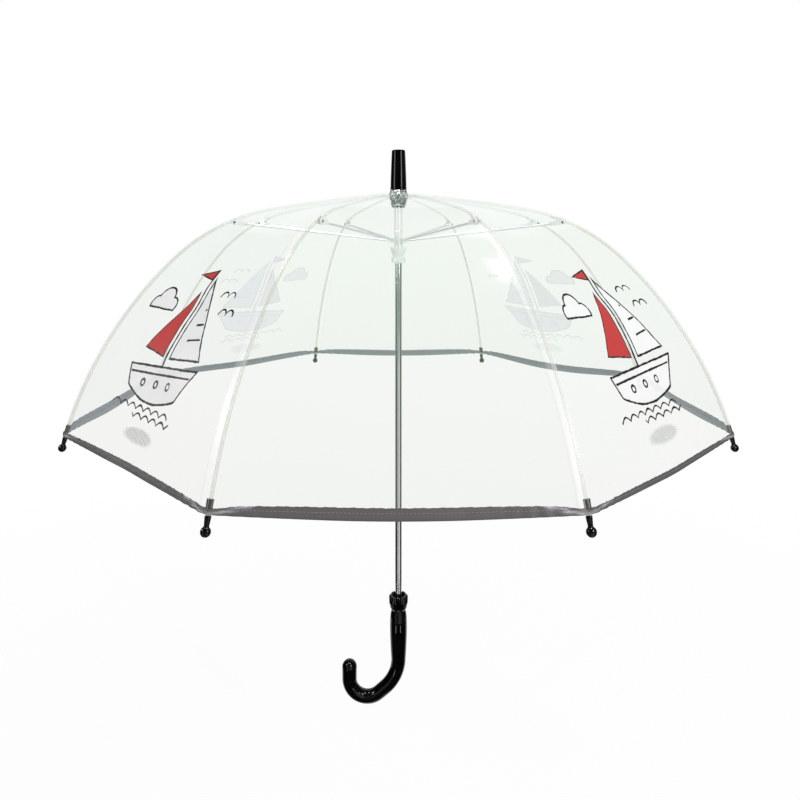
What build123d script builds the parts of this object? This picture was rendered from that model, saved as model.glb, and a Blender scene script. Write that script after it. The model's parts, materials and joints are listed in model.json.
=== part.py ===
from build123d import *
from math import asin, atan2, cos, degrees, hypot, pi, radians, sin
import os

# Child's dome umbrella, drawn open: eight elastic ribs under a clear film canopy, on a steel shaft
# with a crook handle. Millimetres. +Z runs up the shaft, z = 0 is the lowest point of the crook,
# and the hook points to -X. A rib's own pieces are drawn once in the XZ plane and turned into place.

os.makedirs("parts", exist_ok=True)

# ---------- driving dimensions ----------
RIBS = 8
PITCH = 360 / RIBS
FIRST_RIB = PITCH / 2  # a gore, and not a rib, faces the front
APART = 0.3  # between bodies that move apart

# Canopy: its outer face over a rib is three tangent arcs from the hub to the hem
HUB_R = 9.6  # where the film is clamped
HUB_SLOPE = radians(5.7)
CROWN_ARC_R, CROWN_TURN = 2090.0, 4.0
SHOULDER_ARC_R, SHOULDER_TURN = 203.0, 34.7
SKIRT_ARC_R, SKIRT_TURN = 403.0, 29.9
FILM = 0.3
TAPE = 0.25  # hem tape on each face of the film
TAPE_W = 9.0

# Linkage: both arms are equal, so the runner stays on the shaft all the way down
FOLD = 78.0  # degrees a rib turns from open to closed
RING_R = 8.0  # radius of both hinge wires
NOTCH_DROP = 15.5  # from the film at the hub down to the rib hinge
PIN_R = 197.0  # rivet between stretcher and rib
PIN_BELOW = 2.1401  # from the rod's centre line straight down to the rivet

# Ribs and stretchers
ROD_R = 1.5
SLEEVE_R = 2.1  # moulded sleeve round a rod
ROD_DEPTH = FILM + 0.4 + SLEEVE_R  # from the canopy's face down to the rod's centre line
ROD_ROOT = 3.0  # along the rod line, from the hub to the rod's inner end
BLOCK_L = 8.5  # the joint block's sleeve, along the rod
ROD_GAP = (4.5, 4.0)  # from the rivet to the rod's end on each side of it
BLOCK_R = (PIN_R - ROD_GAP[0] - BLOCK_L, PIN_R - ROD_GAP[0])
END_ROOT_R = PIN_R + ROD_GAP[1]
STRETCHER_R = 1.3
LINK_T = 1.6  # flattened ends at both rings
LINK_L = 5.0
EYE_R = 2.0
WIRE_R = 0.6
WIRE_FIT = 0.1
RIVET_R = 1.0
RIVET_FIT = 0.05
KNUCKLE_T, KNUCKLE_EYE = 1.8, 2.2  # stack on the rivet, from the middle out
CHEEK_T, CHEEK_EYE = 1.1, 2.5
FORK_T, FORK_EYE, FORK_ROOT = 1.0, 2.4, 2.5
WEB_R = 2.3  # bar across the fork
FORK_WEB, FORK_SLEEVE = 9.25, 6.75  # from the rivet to the web, and on along the rod
BALL_R = 4.0
BALL_REACH = 12.5  # hem to the middle of the ball
STEM_R, STEM_L = 2.2, 10.5

# Shaft and what sits on it
SHAFT_R, SHAFT_WALL = 4.0, 0.7
SLIDE_FIT = 0.1
TUBE_R = 5.0  # white sleeves on the shaft
DISC_R, DISC_T = 9.25, 6.0
SLOT_W = LINK_T + 2 * APART
SLOT_ROOT = RING_R - EYE_R - 0.4
NOTCH_SKIRT = 0.5  # the notch's tube, below its disc
WASHER_T, WASHER_GAP = 2.6, 0.4  # clear of the film
FERRULE_R = (9.65, 7.75)  # base, top
FERRULE_L = 48.5
FERRULE_CAP = 15.0  # closed end above the shaft
RUNNER_NECK = (5.0, 8.5)  # below and above the runner's disc
FLANGE_H, FLANGE_RIM = 19.0, 3.0
FLANGE_R, FLANGE_WAIST, FLANGE_FOOT = 9.7, 6.9, 8.6
FOOT_H, FOOT_BEVEL = 8.0, 1.6
CATCH_REACH = 2.4
CATCH_W, LEAF_T = 1.8, 0.8
NOSE_L, NOSE_FLAT = 17.0, 2.0
LEAF_L, LEAF_ROOT = 46.0, 4.0  # beyond the nose's edge, and behind it

# Handle
GRIP_TOP, GRIP_R = 112.0, (8.1, 9.45, 8.7)  # top, swell, hook
SWELL_RISE = 5.0  # of the swell above the middle of the grip
SOCKET = 52.0  # how far the shaft goes down into the grip
NECK_R, NECK_L = 5.6, 16.0
BEND_R, BEND_TURN = 34.0, 50.0  # where the grip runs into the hook
HOOK_STRAIGHT = 15.2
CURL_R = 21.7
HOOK_END = 14.0
CUP_R, CUP_H = 11.4, 19.0
CUP_BALL_R = 13.5  # circle on which the balls rest when closed
BALL_SEAT = 15.5143  # their centres, above the grip


def save(piece, name):
    """Labels a finished piece and writes it as its own STEP file."""
    piece.label = name
    export_step(piece, f"parts/{name}.step")


def save_round(piece, name):
    """Writes one copy of a piece for each rib, numbered from the front right, anticlockwise."""
    for i in range(RIBS):
        with BuildPart() as copy:
            add(piece, rotation=(0, 0, FIRST_RIB + i * PITCH - 90))
        save(copy.part, f"{name}_{i + 1}")


# ---------- lines in the plane of one rib (x is the radius, y the height) ----------
def canopy_line(depth, hub_z):
    """Draws the hub-to-hem line a given depth inside the canopy's outer face."""
    heading = Vector(cos(HUB_SLOPE), -sin(HUB_SLOPE))
    start = Vector(HUB_R - depth * sin(HUB_SLOPE), hub_z - depth * cos(HUB_SLOPE))
    crown = JernArc(start, heading, CROWN_ARC_R - depth, -CROWN_TURN)
    shoulder = JernArc(crown @ 1, crown % 1, SHOULDER_ARC_R - depth, -SHOULDER_TURN)
    skirt = JernArc(shoulder @ 1, shoulder % 1, SKIRT_ARC_R - depth, -SKIRT_TURN)
    return crown, shoulder, skirt


def along_shoulder(shoulder, radius):
    """Centre and heading of a rod's shoulder arc at a radius, in the rib's plane."""
    centre = shoulder.arc_center
    turn = asin((radius - centre.X) / shoulder.radius)
    return centre + Vector(sin(turn), cos(turn)) * shoulder.radius, Vector(cos(turn), -sin(turn))


# Closed, the ribs stand straight and their balls lie in the cup, which sets how high the hub is.
# These heights are below the hub.
with BuildLine() as reach_line:
    hub_end, shoulder_end, hem_end = canopy_line(ROD_DEPTH, 0)
open_ball = hem_end @ 1 + (hem_end % 1) * BALL_REACH
open_pin = Vector(PIN_R, along_shoulder(shoulder_end, PIN_R)[0].Y - PIN_BELOW)
PIN_DROP = -NOTCH_DROP - open_pin.Y  # from the rib hinge down to the rivet
ARM = hypot(PIN_R - RING_R, PIN_DROP)
ARM_SLOPE = asin(PIN_DROP / ARM)
TRAVEL = 2 * ARM * (sin(ARM_SLOPE + radians(FOLD)) - sin(ARM_SLOPE))
reach = (open_ball - open_pin).length
ball_slope = atan2(open_pin.Y - open_ball.Y, open_ball.X - PIN_R)
pin_closed = RING_R + ARM * cos(ARM_SLOPE + radians(FOLD))
closed_slope = pi / 2 + asin((pin_closed - CUP_BALL_R) / reach)
END_TURN = degrees(closed_slope - ball_slope)
BALL_CLOSED_Z = GRIP_TOP + BALL_SEAT
CROWN_Z = BALL_CLOSED_Z + reach * sin(closed_slope) + NOTCH_DROP + PIN_DROP + TRAVEL / 2

NOTCH_Z = CROWN_Z - NOTCH_DROP
PIN_Z = NOTCH_Z - PIN_DROP
RUNNER_Z = PIN_Z - PIN_DROP  # stretcher hinge, the rib hinge mirrored about the rivet
NOTCH_BASE = NOTCH_Z - DISC_T / 2 - NOTCH_SKIRT
RUNNER_TOP = RUNNER_Z + DISC_T / 2 + RUNNER_NECK[1]
FLANGE_TOP = RUNNER_Z - DISC_T / 2 - RUNNER_NECK[0]
FLANGE_BASE = FLANGE_TOP - FLANGE_H
FERRULE_Z = CROWN_Z + WASHER_GAP + WASHER_T
LENGTH = FERRULE_Z + FERRULE_L
SHAFT_Z = (GRIP_TOP - SOCKET, LENGTH - FERRULE_CAP)
NECK_TOP, CUP_RIM = GRIP_TOP + NECK_L, GRIP_TOP + CUP_H

with BuildLine() as film_line:
    film_skirt = canopy_line(0, CROWN_Z)[2]
with BuildLine() as rod_line:
    rod_crown, rod_shoulder, rod_skirt = canopy_line(ROD_DEPTH, CROWN_Z)
    rod_tail = Line(rod_skirt @ 1, rod_skirt @ 1 + (rod_skirt % 1) * (BALL_REACH - 1))
ROD_START = rod_crown @ (ROD_ROOT / rod_crown.length)
BALL = rod_skirt @ 1 + (rod_skirt % 1) * BALL_REACH
HEM = film_skirt @ 1
TAPE_TOP = 1 - TAPE_W / film_skirt.length
rod_path = Plane.XZ * rod_line.wire()

# ---------- ribs ----------
with BuildPart() as rod:
    with BuildSketch(Plane(origin=rod_path @ 0, z_dir=rod_path % 0)):
        Circle(ROD_R)
    sweep(path=rod_path)

block_at, block_heading = along_shoulder(rod_shoulder, sum(BLOCK_R) / 2)
cheek_at = along_shoulder(rod_shoulder, BLOCK_R[1] - SLEEVE_R)[0]
with BuildPart() as rib:
    add(rod.part)
    split(bisect_by=Plane((ROD_START.X, 0, 0), z_dir=(1, 0, 0)), keep=Keep.TOP)
    split(bisect_by=Plane((BLOCK_R[1], 0, 0), z_dir=(1, 0, 0)), keep=Keep.BOTTOM)
    # flattened root link down to the hinge wire
    with BuildSketch(Plane.XZ) as link:
        with Locations((RING_R, NOTCH_Z)):
            Circle(EYE_R)
        with Locations((ROD_START.X, ROD_START.Y)):
            Circle(ROD_R)
        make_hull()
        with Locations((RING_R, NOTCH_Z)):
            Circle(WIRE_R + WIRE_FIT, mode=Mode.SUBTRACT)
    extrude(amount=LINK_T / 2, both=True)
    # joint block: a sleeve on the rod, and two cheeks down to the rivet
    with BuildSketch(Plane(origin=(block_at.X, 0, block_at.Y),
                           z_dir=(block_heading.X, 0, block_heading.Y))):
        Circle(SLEEVE_R)
    extrude(amount=(BLOCK_R[1] - BLOCK_R[0]) / 2, both=True)
    with BuildSketch(Plane.XZ.offset(KNUCKLE_T / 2 + APART)):
        with Locations((PIN_R, PIN_Z)):
            Circle(CHEEK_EYE)
        with Locations((cheek_at.X, cheek_at.Y)):
            Circle(SLEEVE_R)
        make_hull()
        with Locations((PIN_R, PIN_Z)):
            Circle(RIVET_R + RIVET_FIT, mode=Mode.SUBTRACT)
    extrude(amount=CHEEK_T)
    mirror(about=Plane.XZ)
save_round(rib.part, "rib")

knuckle_at = along_shoulder(rod_shoulder, END_ROOT_R + 2)[0]
with BuildPart() as rib_end:
    add(rod.part)
    split(bisect_by=Plane((END_ROOT_R, 0, 0), z_dir=(1, 0, 0)), keep=Keep.TOP)
    with BuildSketch(Plane.XZ):
        with Locations((PIN_R, PIN_Z)):
            Circle(KNUCKLE_EYE)
        with Locations((knuckle_at.X, knuckle_at.Y)):
            Circle(ROD_R - 0.1)
        make_hull()
        with Locations((PIN_R, PIN_Z)):
            Circle(RIVET_R + RIVET_FIT, mode=Mode.SUBTRACT)
    extrude(amount=KNUCKLE_T / 2, both=True)
save_round(rib_end.part, "rib_end")

tail_start = rod_path.position_at(1) - (rod_path % 1) * (STEM_L - 1)
with BuildPart() as tip:
    with Locations((BALL.X, 0, BALL.Y)):
        Sphere(BALL_R)
    with BuildSketch(Plane(origin=tail_start, z_dir=rod_path % 1)):
        Circle(STEM_R)
    extrude(amount=STEM_L)
    with BuildSketch(Plane(origin=tail_start, z_dir=rod_path % 1)):
        Circle(ROD_R)
    extrude(amount=STEM_L - 1, mode=Mode.SUBTRACT)
save_round(tip.part, "tip")

# ---------- stretchers ----------
arm_heading = Vector(-cos(ARM_SLOPE), -sin(ARM_SLOPE))  # from the rivet to the runner
pin = Vector(PIN_R, PIN_Z)
web_at = pin + arm_heading * FORK_WEB
link_at = pin + arm_heading * (ARM - LINK_L)
fork_y = KNUCKLE_T / 2 + APART + CHEEK_T + APART
with BuildPart() as stretcher:
    with BuildSketch(Plane(origin=(web_at.X, 0, web_at.Y), z_dir=(arm_heading.X, 0, arm_heading.Y))):
        Circle(STRETCHER_R)
    extrude(amount=ARM - FORK_WEB - LINK_L)
    with BuildSketch(Plane(origin=(web_at.X, 0, web_at.Y), z_dir=(arm_heading.X, 0, arm_heading.Y))):
        Circle(SLEEVE_R)
    extrude(amount=FORK_SLEEVE)
    with BuildSketch(Plane.XZ):
        with Locations((web_at.X, web_at.Y)):
            Circle(WEB_R)
    extrude(amount=fork_y + FORK_T / 2, both=True)
    # rivet, riveted over in both fork cheeks
    with BuildSketch(Plane.XZ):
        with Locations((PIN_R, PIN_Z)):
            Circle(RIVET_R)
    extrude(amount=fork_y + FORK_T + 0.4, both=True)
    with BuildSketch(Plane.XZ):
        with Locations((RING_R, RUNNER_Z)):
            Circle(EYE_R)
        with Locations((link_at.X, link_at.Y)):
            Circle(STRETCHER_R - 0.1)
        make_hull()
        with Locations((RING_R, RUNNER_Z)):
            Circle(WIRE_R + WIRE_FIT, mode=Mode.SUBTRACT)
    extrude(amount=LINK_T / 2, both=True)
    with BuildSketch(Plane.XZ.offset(fork_y)):
        with Locations((PIN_R, PIN_Z)):
            Circle(FORK_EYE)
        with Locations((web_at.X, web_at.Y)):
            Circle(FORK_ROOT)
        make_hull()
    extrude(amount=FORK_T)
    mirror(about=Plane.XZ)
save_round(stretcher.part, "stretcher")

# ---------- canopy: each film panel is the film from mid-gore to mid-gore over one rib ----------
half_gore = radians(PITCH / 2)
across = Vector(-sin(half_gore), cos(half_gore))  # along the gore, square to its middle
mid_gore = Plane(origin=across * (-APART / 2), z_dir=across)
mid_tape = film_skirt % TAPE_TOP
tape_edge = film_skirt @ TAPE_TOP
film_normal = Vector(mid_tape.Y, 0, -mid_tape.X)
tape_cut = Plane(origin=(tape_edge.X, 0, tape_edge.Y), z_dir=film_normal.cross(across))


def half_film(outer, inner):
    """Half a gore between two depths, from the rib's plane to the middle of the gore."""
    with BuildPart() as half:
        with BuildSketch(Plane.XZ):
            with BuildLine():
                top = canopy_line(outer, CROWN_Z)
                under = canopy_line(inner, CROWN_Z)
                Line(top[0] @ 0, under[0] @ 0)
                Line(top[2] @ 1, under[2] @ 1)
            make_face()
        extrude(amount=HEM.X * sin(half_gore) + 5, dir=across)
        split(bisect_by=mid_gore, keep=Keep.BOTTOM)
    return half.part


film = half_film(0, FILM)
taped_film = half_film(-TAPE, FILM + TAPE)

with BuildPart() as crown_panel:
    add(film)
    split(bisect_by=Plane((PIN_R - APART / 2, 0, 0), z_dir=(1, 0, 0)), keep=Keep.BOTTOM)
    mirror(about=Plane.XZ)
save_round(crown_panel.part, "crown_panel")

with BuildPart() as hem_tape:
    add(taped_film)
    split(bisect_by=tape_cut, keep=Keep.TOP)
with BuildPart() as skirt_panel:
    add(film)
    split(bisect_by=Plane((PIN_R + APART / 2, 0, 0), z_dir=(1, 0, 0)), keep=Keep.TOP)
    add(hem_tape.part)
    mirror(about=Plane.XZ)
save_round(skirt_panel.part, "skirt_panel")


# ---------- notch, runner and their hinge wires ----------
# Cuts the slots for the link ends, and the groove that the hinge wire is pressed into
with BuildPart() as ring_cutter:
    with BuildSketch(Plane.XY.offset(-DISC_T)):
        with PolarLocations(SLOT_ROOT + DISC_R, RIBS, start_angle=FIRST_RIB):
            Rectangle(2 * DISC_R, SLOT_W)
    extrude(amount=2 * DISC_T)
    Torus(RING_R, WIRE_R)

with BuildPart() as top_notch:
    with BuildSketch(Plane.XZ):
        with BuildLine():
            Polyline((SHAFT_R, NOTCH_BASE), (TUBE_R, NOTCH_BASE), (TUBE_R, NOTCH_Z - DISC_T / 2),
                     (DISC_R, NOTCH_Z - DISC_T / 2), (DISC_R, NOTCH_Z + DISC_T / 2),
                     (TUBE_R, NOTCH_Z + DISC_T / 2), (TUBE_R, FERRULE_Z - WASHER_T),
                     (SHAFT_R, FERRULE_Z - WASHER_T), close=True)
        make_face()
    revolve(axis=Axis.Z)
    with Locations((0, 0, NOTCH_Z)):
        add(ring_cutter.part, mode=Mode.SUBTRACT)
save(top_notch.part, "top_notch")

with BuildPart() as runner:
    with BuildSketch(Plane.XZ):
        with BuildLine():
            Polyline((SHAFT_R + SLIDE_FIT, FLANGE_BASE), (FLANGE_WAIST, FLANGE_BASE),
                     (FLANGE_FOOT, FLANGE_BASE + FOOT_BEVEL),
                     (FLANGE_FOOT, FLANGE_BASE + FOOT_H - FOOT_BEVEL),
                     (FLANGE_WAIST, FLANGE_BASE + FOOT_H), (FLANGE_R, FLANGE_TOP - FLANGE_RIM),
                     (FLANGE_R, FLANGE_TOP), (TUBE_R, FLANGE_TOP),
                     (TUBE_R, RUNNER_Z - DISC_T / 2), (DISC_R, RUNNER_Z - DISC_T / 2),
                     (DISC_R, RUNNER_Z + DISC_T / 2), (TUBE_R, RUNNER_Z + DISC_T / 2),
                     (TUBE_R, RUNNER_TOP), (SHAFT_R + SLIDE_FIT, RUNNER_TOP), close=True)
        make_face()
    revolve(axis=Axis.Z)
    with Locations((0, 0, RUNNER_Z)):
        add(ring_cutter.part, mode=Mode.SUBTRACT)
    # finger flutes round the foot
    with BuildSketch(Plane.XY.offset(FLANGE_BASE)):
        with PolarLocations(FLANGE_FOOT + 0.9, 2 * RIBS):
            Circle(1.5)
    extrude(amount=FOOT_H, mode=Mode.SUBTRACT)
save(runner.part, "runner")

for name, level in (("notch_wire", NOTCH_Z), ("runner_wire", RUNNER_Z)):
    with BuildPart() as wire:
        with Locations((0, 0, level)):
            Torus(RING_R, WIRE_R)
    save(wire.part, name)

# ---------- shaft, catches, ferrule ----------
TOP_NOSE = FLANGE_BASE - 0.4  # the open runner rests on this catch
LOW_NOSE = RUNNER_TOP - TRAVEL + 0.4  # the closed runner is held under this one
with BuildPart() as shaft:
    with BuildSketch(Plane.XY.offset(SHAFT_Z[0])):
        Circle(SHAFT_R)
        Circle(SHAFT_R - SHAFT_WALL, mode=Mode.SUBTRACT)
    extrude(amount=SHAFT_Z[1] - SHAFT_Z[0])
    with BuildSketch(Plane.XZ):
        with Locations((0, TOP_NOSE - NOSE_L / 2), (0, LOW_NOSE + NOSE_L / 2)):
            RectangleRounded(CATCH_W + 2 * APART, NOSE_L + 2 * APART, APART * 2)
    extrude(amount=-2 * SHAFT_R, mode=Mode.SUBTRACT)
save(shaft.part, "shaft")

leaf_y = (SHAFT_R - SHAFT_WALL - APART * 2 - LEAF_T, SHAFT_R - SHAFT_WALL - APART * 2)
for name, nose, down in (("top_catch", TOP_NOSE, -1), ("bottom_catch", LOW_NOSE, 1)):
    with BuildPart() as catch:
        with BuildSketch(Plane.YZ):
            with BuildLine():
                Polyline((leaf_y[0], nose - down * LEAF_ROOT), (leaf_y[1], nose - down * LEAF_ROOT),
                         (leaf_y[1], nose), (SHAFT_R + CATCH_REACH, nose),
                         (SHAFT_R + CATCH_REACH, nose + down * NOSE_FLAT),
                         (leaf_y[1], nose + down * NOSE_L), (leaf_y[1], nose + down * LEAF_L),
                         (leaf_y[0], nose + down * LEAF_L), close=True)
            make_face()
        extrude(amount=CATCH_W / 2, both=True)
    save(catch.part, name)

with BuildPart() as top_spacer:
    with BuildSketch(Plane.XY.offset(RUNNER_TOP + 1)):
        Circle(TUBE_R)
        Circle(SHAFT_R, mode=Mode.SUBTRACT)
    extrude(amount=NOTCH_BASE - RUNNER_TOP - 1)
save(top_spacer.part, "top_spacer")

with BuildPart() as crown_washer:
    with BuildSketch(Plane.XZ):
        with BuildLine():
            Polyline((SHAFT_R, FERRULE_Z - WASHER_T), (FERRULE_R[0], FERRULE_Z - WASHER_T),
                     (FERRULE_R[0], FERRULE_Z - 1), (FERRULE_R[0] - 1, FERRULE_Z),
                     (SHAFT_R, FERRULE_Z), close=True)
        make_face()
    revolve(axis=Axis.Z)
save(crown_washer.part, "crown_washer")

with BuildPart() as ferrule:
    with BuildSketch(Plane.XZ):
        with BuildLine():
            Polyline((SHAFT_R, FERRULE_Z), (FERRULE_R[0], FERRULE_Z), (FERRULE_R[1], LENGTH),
                     (0, LENGTH), (0, SHAFT_Z[1]), (SHAFT_R, SHAFT_Z[1]), close=True)
        make_face()
    revolve(axis=Axis.Z)
    fillet(ferrule.edges().group_by(Axis.Z)[-1], 1.8)
save(ferrule.part, "ferrule")

# ---------- handle and tip cup ----------
GRIP_BASE = (GRIP_R[2] + CURL_R * (1 - sin(radians(BEND_TURN))) + HOOK_STRAIGHT * cos(radians(BEND_TURN))
             + BEND_R * sin(radians(BEND_TURN)))
with BuildLine() as hook_line:
    bend = JernArc((0, GRIP_BASE), (0, -1), BEND_R, -BEND_TURN)
    run = Line(bend @ 1, bend @ 1 + (bend % 1) * HOOK_STRAIGHT)
    curl = JernArc(run @ 1, run % 1, CURL_R, -(180 - BEND_TURN))
    Line(curl @ 1, curl @ 1 + Vector(0, HOOK_END))
hook_path = Plane.XZ * hook_line.wire()
with BuildPart() as handle:
    with BuildSketch(Plane.XZ):
        with BuildLine():
            swell = Spline((GRIP_R[0], GRIP_TOP), (GRIP_R[1], (GRIP_TOP + GRIP_BASE) / 2 + SWELL_RISE),
                           (GRIP_R[2], GRIP_BASE), tangents=((0.1, -1), (0, -1)))
            Polyline(swell @ 1, (0, GRIP_BASE), (0, NECK_TOP), (NECK_R, NECK_TOP), (NECK_R, GRIP_TOP),
                     swell @ 0)
        make_face()
    revolve(axis=Axis.Z)
    with BuildSketch(Plane(origin=hook_path @ 0, z_dir=hook_path % 0)):
        Circle(GRIP_R[2])
    sweep(path=hook_path)
    with Locations(hook_path @ 1):
        Sphere(GRIP_R[2])
    with BuildSketch(Plane.XY.offset(NECK_TOP)):
        Circle(SHAFT_R)
    extrude(amount=SHAFT_Z[0] - NECK_TOP, mode=Mode.SUBTRACT)
save(handle.part, "handle")

with BuildPart() as tip_cup:
    with BuildSketch(Plane.XZ):
        with BuildLine():
            rim = ThreePointArc((CUP_R, CUP_RIM - 2), (CUP_R - 0.9, CUP_RIM - 0.4), (CUP_R - 2.4, CUP_RIM))
            Polyline(rim @ 1, (CUP_R - 3.4, CUP_RIM), (NECK_R, CUP_RIM - 3), (NECK_R, GRIP_TOP),
                     (GRIP_R[0], GRIP_TOP), (CUP_R, GRIP_TOP + 4.5), rim @ 0)
        make_face()
    revolve(axis=Axis.Z)
    with BuildSketch(Plane.XY.offset(BALL_CLOSED_Z - BALL_R - 1.5)):
        with PolarLocations(CUP_BALL_R, RIBS, start_angle=FIRST_RIB):
            Circle(BALL_R + APART)
    extrude(amount=CUP_H, mode=Mode.SUBTRACT)
save(tip_cup.part, "tip_cup")

# Ratios and places that the assembly's joints use, worked out from the sizes above
print(f"length {LENGTH:.3f}, hub {CROWN_Z:.4f}, rib fold {FOLD} deg, rib end {END_TURN - FOLD:.4f} deg")
print(f"rib end turns with the fold at {END_TURN / FOLD - 1:.6f}")
print(f"rivet below the rod {PIN_BELOW}, at {PIN_Z:.5f}")
print(f"runner travel {TRAVEL:.3f}, ball closed z {BALL_CLOSED_Z:.2f}, rivet closed r {pin_closed:.2f}")
print(f"noses {TOP_NOSE:.2f} {LOW_NOSE:.2f}, grip base {GRIP_BASE:.2f}, hem {HEM.X:.2f} {HEM.Y:.2f}")
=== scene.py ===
import json
from functools import reduce
from math import atan2, cos, pi, radians, sin, tan, tau

import bmesh
import bpy
import numpy as np
from bpy.props import FloatProperty, FloatVectorProperty, IntProperty, PointerProperty
from mathutils import Matrix, Vector

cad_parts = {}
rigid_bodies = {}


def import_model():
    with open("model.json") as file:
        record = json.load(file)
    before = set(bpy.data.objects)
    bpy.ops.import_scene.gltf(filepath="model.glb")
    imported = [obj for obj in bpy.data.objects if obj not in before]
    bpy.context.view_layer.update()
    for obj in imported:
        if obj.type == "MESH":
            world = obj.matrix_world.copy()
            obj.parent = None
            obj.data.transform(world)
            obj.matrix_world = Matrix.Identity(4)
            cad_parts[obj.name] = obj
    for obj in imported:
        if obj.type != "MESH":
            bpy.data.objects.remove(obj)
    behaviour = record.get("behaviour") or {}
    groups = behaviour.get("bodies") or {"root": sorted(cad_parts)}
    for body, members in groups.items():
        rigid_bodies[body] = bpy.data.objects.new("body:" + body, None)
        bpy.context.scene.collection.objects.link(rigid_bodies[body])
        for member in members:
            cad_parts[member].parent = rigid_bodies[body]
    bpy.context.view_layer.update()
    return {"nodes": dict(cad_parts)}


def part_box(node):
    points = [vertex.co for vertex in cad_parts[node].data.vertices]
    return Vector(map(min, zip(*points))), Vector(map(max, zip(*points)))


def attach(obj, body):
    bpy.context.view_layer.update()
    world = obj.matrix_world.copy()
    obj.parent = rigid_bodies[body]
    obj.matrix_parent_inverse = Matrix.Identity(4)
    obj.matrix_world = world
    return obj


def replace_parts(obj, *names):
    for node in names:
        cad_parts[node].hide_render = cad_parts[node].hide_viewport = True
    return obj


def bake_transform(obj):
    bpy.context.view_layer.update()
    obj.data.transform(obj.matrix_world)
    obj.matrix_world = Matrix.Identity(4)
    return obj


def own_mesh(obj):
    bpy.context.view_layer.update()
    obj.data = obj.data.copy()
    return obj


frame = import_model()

bl_info = {
    "name": "Dome umbrella",
    "version": (1, 0, 0),
    "blender": (4, 5, 0),
    "location": "View3D > Sidebar > Umbrella",
    "description": "Dresses a child's clear dome umbrella with film, hem, ribs, hub and crook",
    "category": "Add Mesh",
}

MM = 0.001
RIBS = 8
PITCH = tau / RIBS
GORE_TAN = tan(PITCH / 2)


# ---------- sizes and colours ----------
def size(name, default, description):
    return FloatProperty(name=name, description=description, default=default, unit="LENGTH",
                         precision=5)


def turn(name, default, description):
    return FloatProperty(name=name, description=description, default=radians(default),
                         subtype="ANGLE")


def share(name, default, description):
    return FloatProperty(name=name, description=description, default=default, min=0, max=1,
                         subtype="FACTOR")


def count(name, default, description):
    return IntProperty(name=name, description=description, default=default, min=3)


def colour(name, default, description):
    return FloatVectorProperty(name=name, description=description, default=default, size=3,
                               min=0, max=1, subtype="COLOR")


class CanopySettings(bpy.types.PropertyGroup):
    hub_radius: size("Hub radius", 0.0096, "Where the film is clamped under the ferrule")
    hub_height: size("Hub height", 0.6185, "Height of the film at the hub")
    hub_slope: turn("Hub slope", 5.7, "Fall of the film where it leaves the hub")
    crown_arc: size("Crown arc", 2.090, "Radius of the almost straight crown")
    crown_turn: turn("Crown turn", 4.0, "Turn of the crown arc")
    shoulder_arc: size("Shoulder arc", 0.203, "Radius of the shoulder")
    shoulder_turn: turn("Shoulder turn", 34.7, "Turn of the shoulder arc")
    skirt_arc: size("Skirt arc", 0.403, "Radius of the skirt")
    skirt_turn: turn("Skirt turn", 29.9, "Turn of the skirt arc")
    top_radius: size("Cap radius", 0.024, "Edge of the film that bends between hub and ribs")
    ridge: size("Ridge radius", 0.002, "How softly the film bends over a rod")
    sag: size("Sag", 0.0035, "How far the film lies inside the straight line between two ribs")
    hem_bow: size("Hem bow", 0.003, "How much lower the hem is in the middle of a gore")
    tint: colour("Film tint", (0.47, 0.55, 0.41), "Colour of the clear film")
    tint_top: colour("Film tint at the top", (0.46, 0.68, 0.45), "Colour of the film's shoulders")
    cover: share("Film cover", 0.175, "How much of what is behind one layer of film is hidden")
    weld: size("Welded flap", 0.009, "Width of the film's lap beside each rib")
    white_ink: colour("White ink", (0.97, 0.97, 0.98), "White of the print")
    back_ink: colour("Ink from inside", (0.74, 0.79, 0.90), "The print as seen from the inside")
    black_ink: colour("Black ink", (0.012, 0.012, 0.012), "Lines of the print")
    red_ink: colour("Red ink", (0.60, 0.002, 0.006), "Jib and pennant")
    grey_ink: colour("Grey ink", (0.42, 0.42, 0.42), "Hatching under the boat")


class HemSettings(bpy.types.PropertyGroup):
    width: size("Tape width", 0.009, "Height of the folded tape on each side of the film")
    outer: size("Tape outside", 0.00030, "How far the tape stands outside the film's outer face")
    inner: size("Tape inside", 0.00060, "How far under that face its inner leaf is")
    pinch: size("Pinch", 0.022, "Length of the gathered tape at each corner")
    # Fold sets only how far the painted highlight along each corner's fold runs
    fold: size("Fold", 0.034, "Length of the fold that runs out of each corner")
    taper: size("Taper", 0.016, "Length over which the tape narrows to the corner")
    stitch: size("Stitch", 0.0026, "Length of one stitch")
    stitch_pitch: size("Stitch pitch", 0.0030, "From one stitch to the next")
    thread: size("Thread", 0.00055, "Thickness of the thread")
    tab_height: size("Tab height", 0.0070, "Length of the loop of tape round each rod")
    tab_drop: size("Tab drop", 0.0034, "From the loop of tape to the film's lower edge")
    tab_width: size("Tab width", 0.0056, "Width of that loop")
    outside: colour("Tape outside", (0.098, 0.091, 0.093), "Grey of the outer leaf")
    inside: colour("Tape inside", (0.285, 0.325, 0.385), "Grey of the inner leaf")


class FrameworkSettings(bpy.types.PropertyGroup):
    rod: size("Rod radius", 0.0015, "Glass-fibre rib")
    rod_depth: size("Rod depth", 0.0028, "From the film's outer face down to the rod's centre")
    stretcher: size("Stretcher radius", 0.0013, "Steel wire of a stretcher")
    sleeve: size("Sleeve radius", 0.0021, "Moulded sleeves on rods and stretchers")
    ring: size("Ring radius", 0.008, "Radius of both hinge wires")
    notch_height: size("Notch height", 0.603, "Height of the ribs' hinge wire")
    pin_radius: size("Rivet place", 0.197, "Distance of the rivets from the shaft")
    pin_height: size("Rivet height", 0.5815, "Height of the rivets")
    ball: size("Ball radius", 0.004, "Ball at the end of each rib")
    ball_reach: size("Ball reach", 0.0125, "From the hem to the middle of the ball")
    sides: count("Sides", 16, "Sides of a rod's section")


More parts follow.
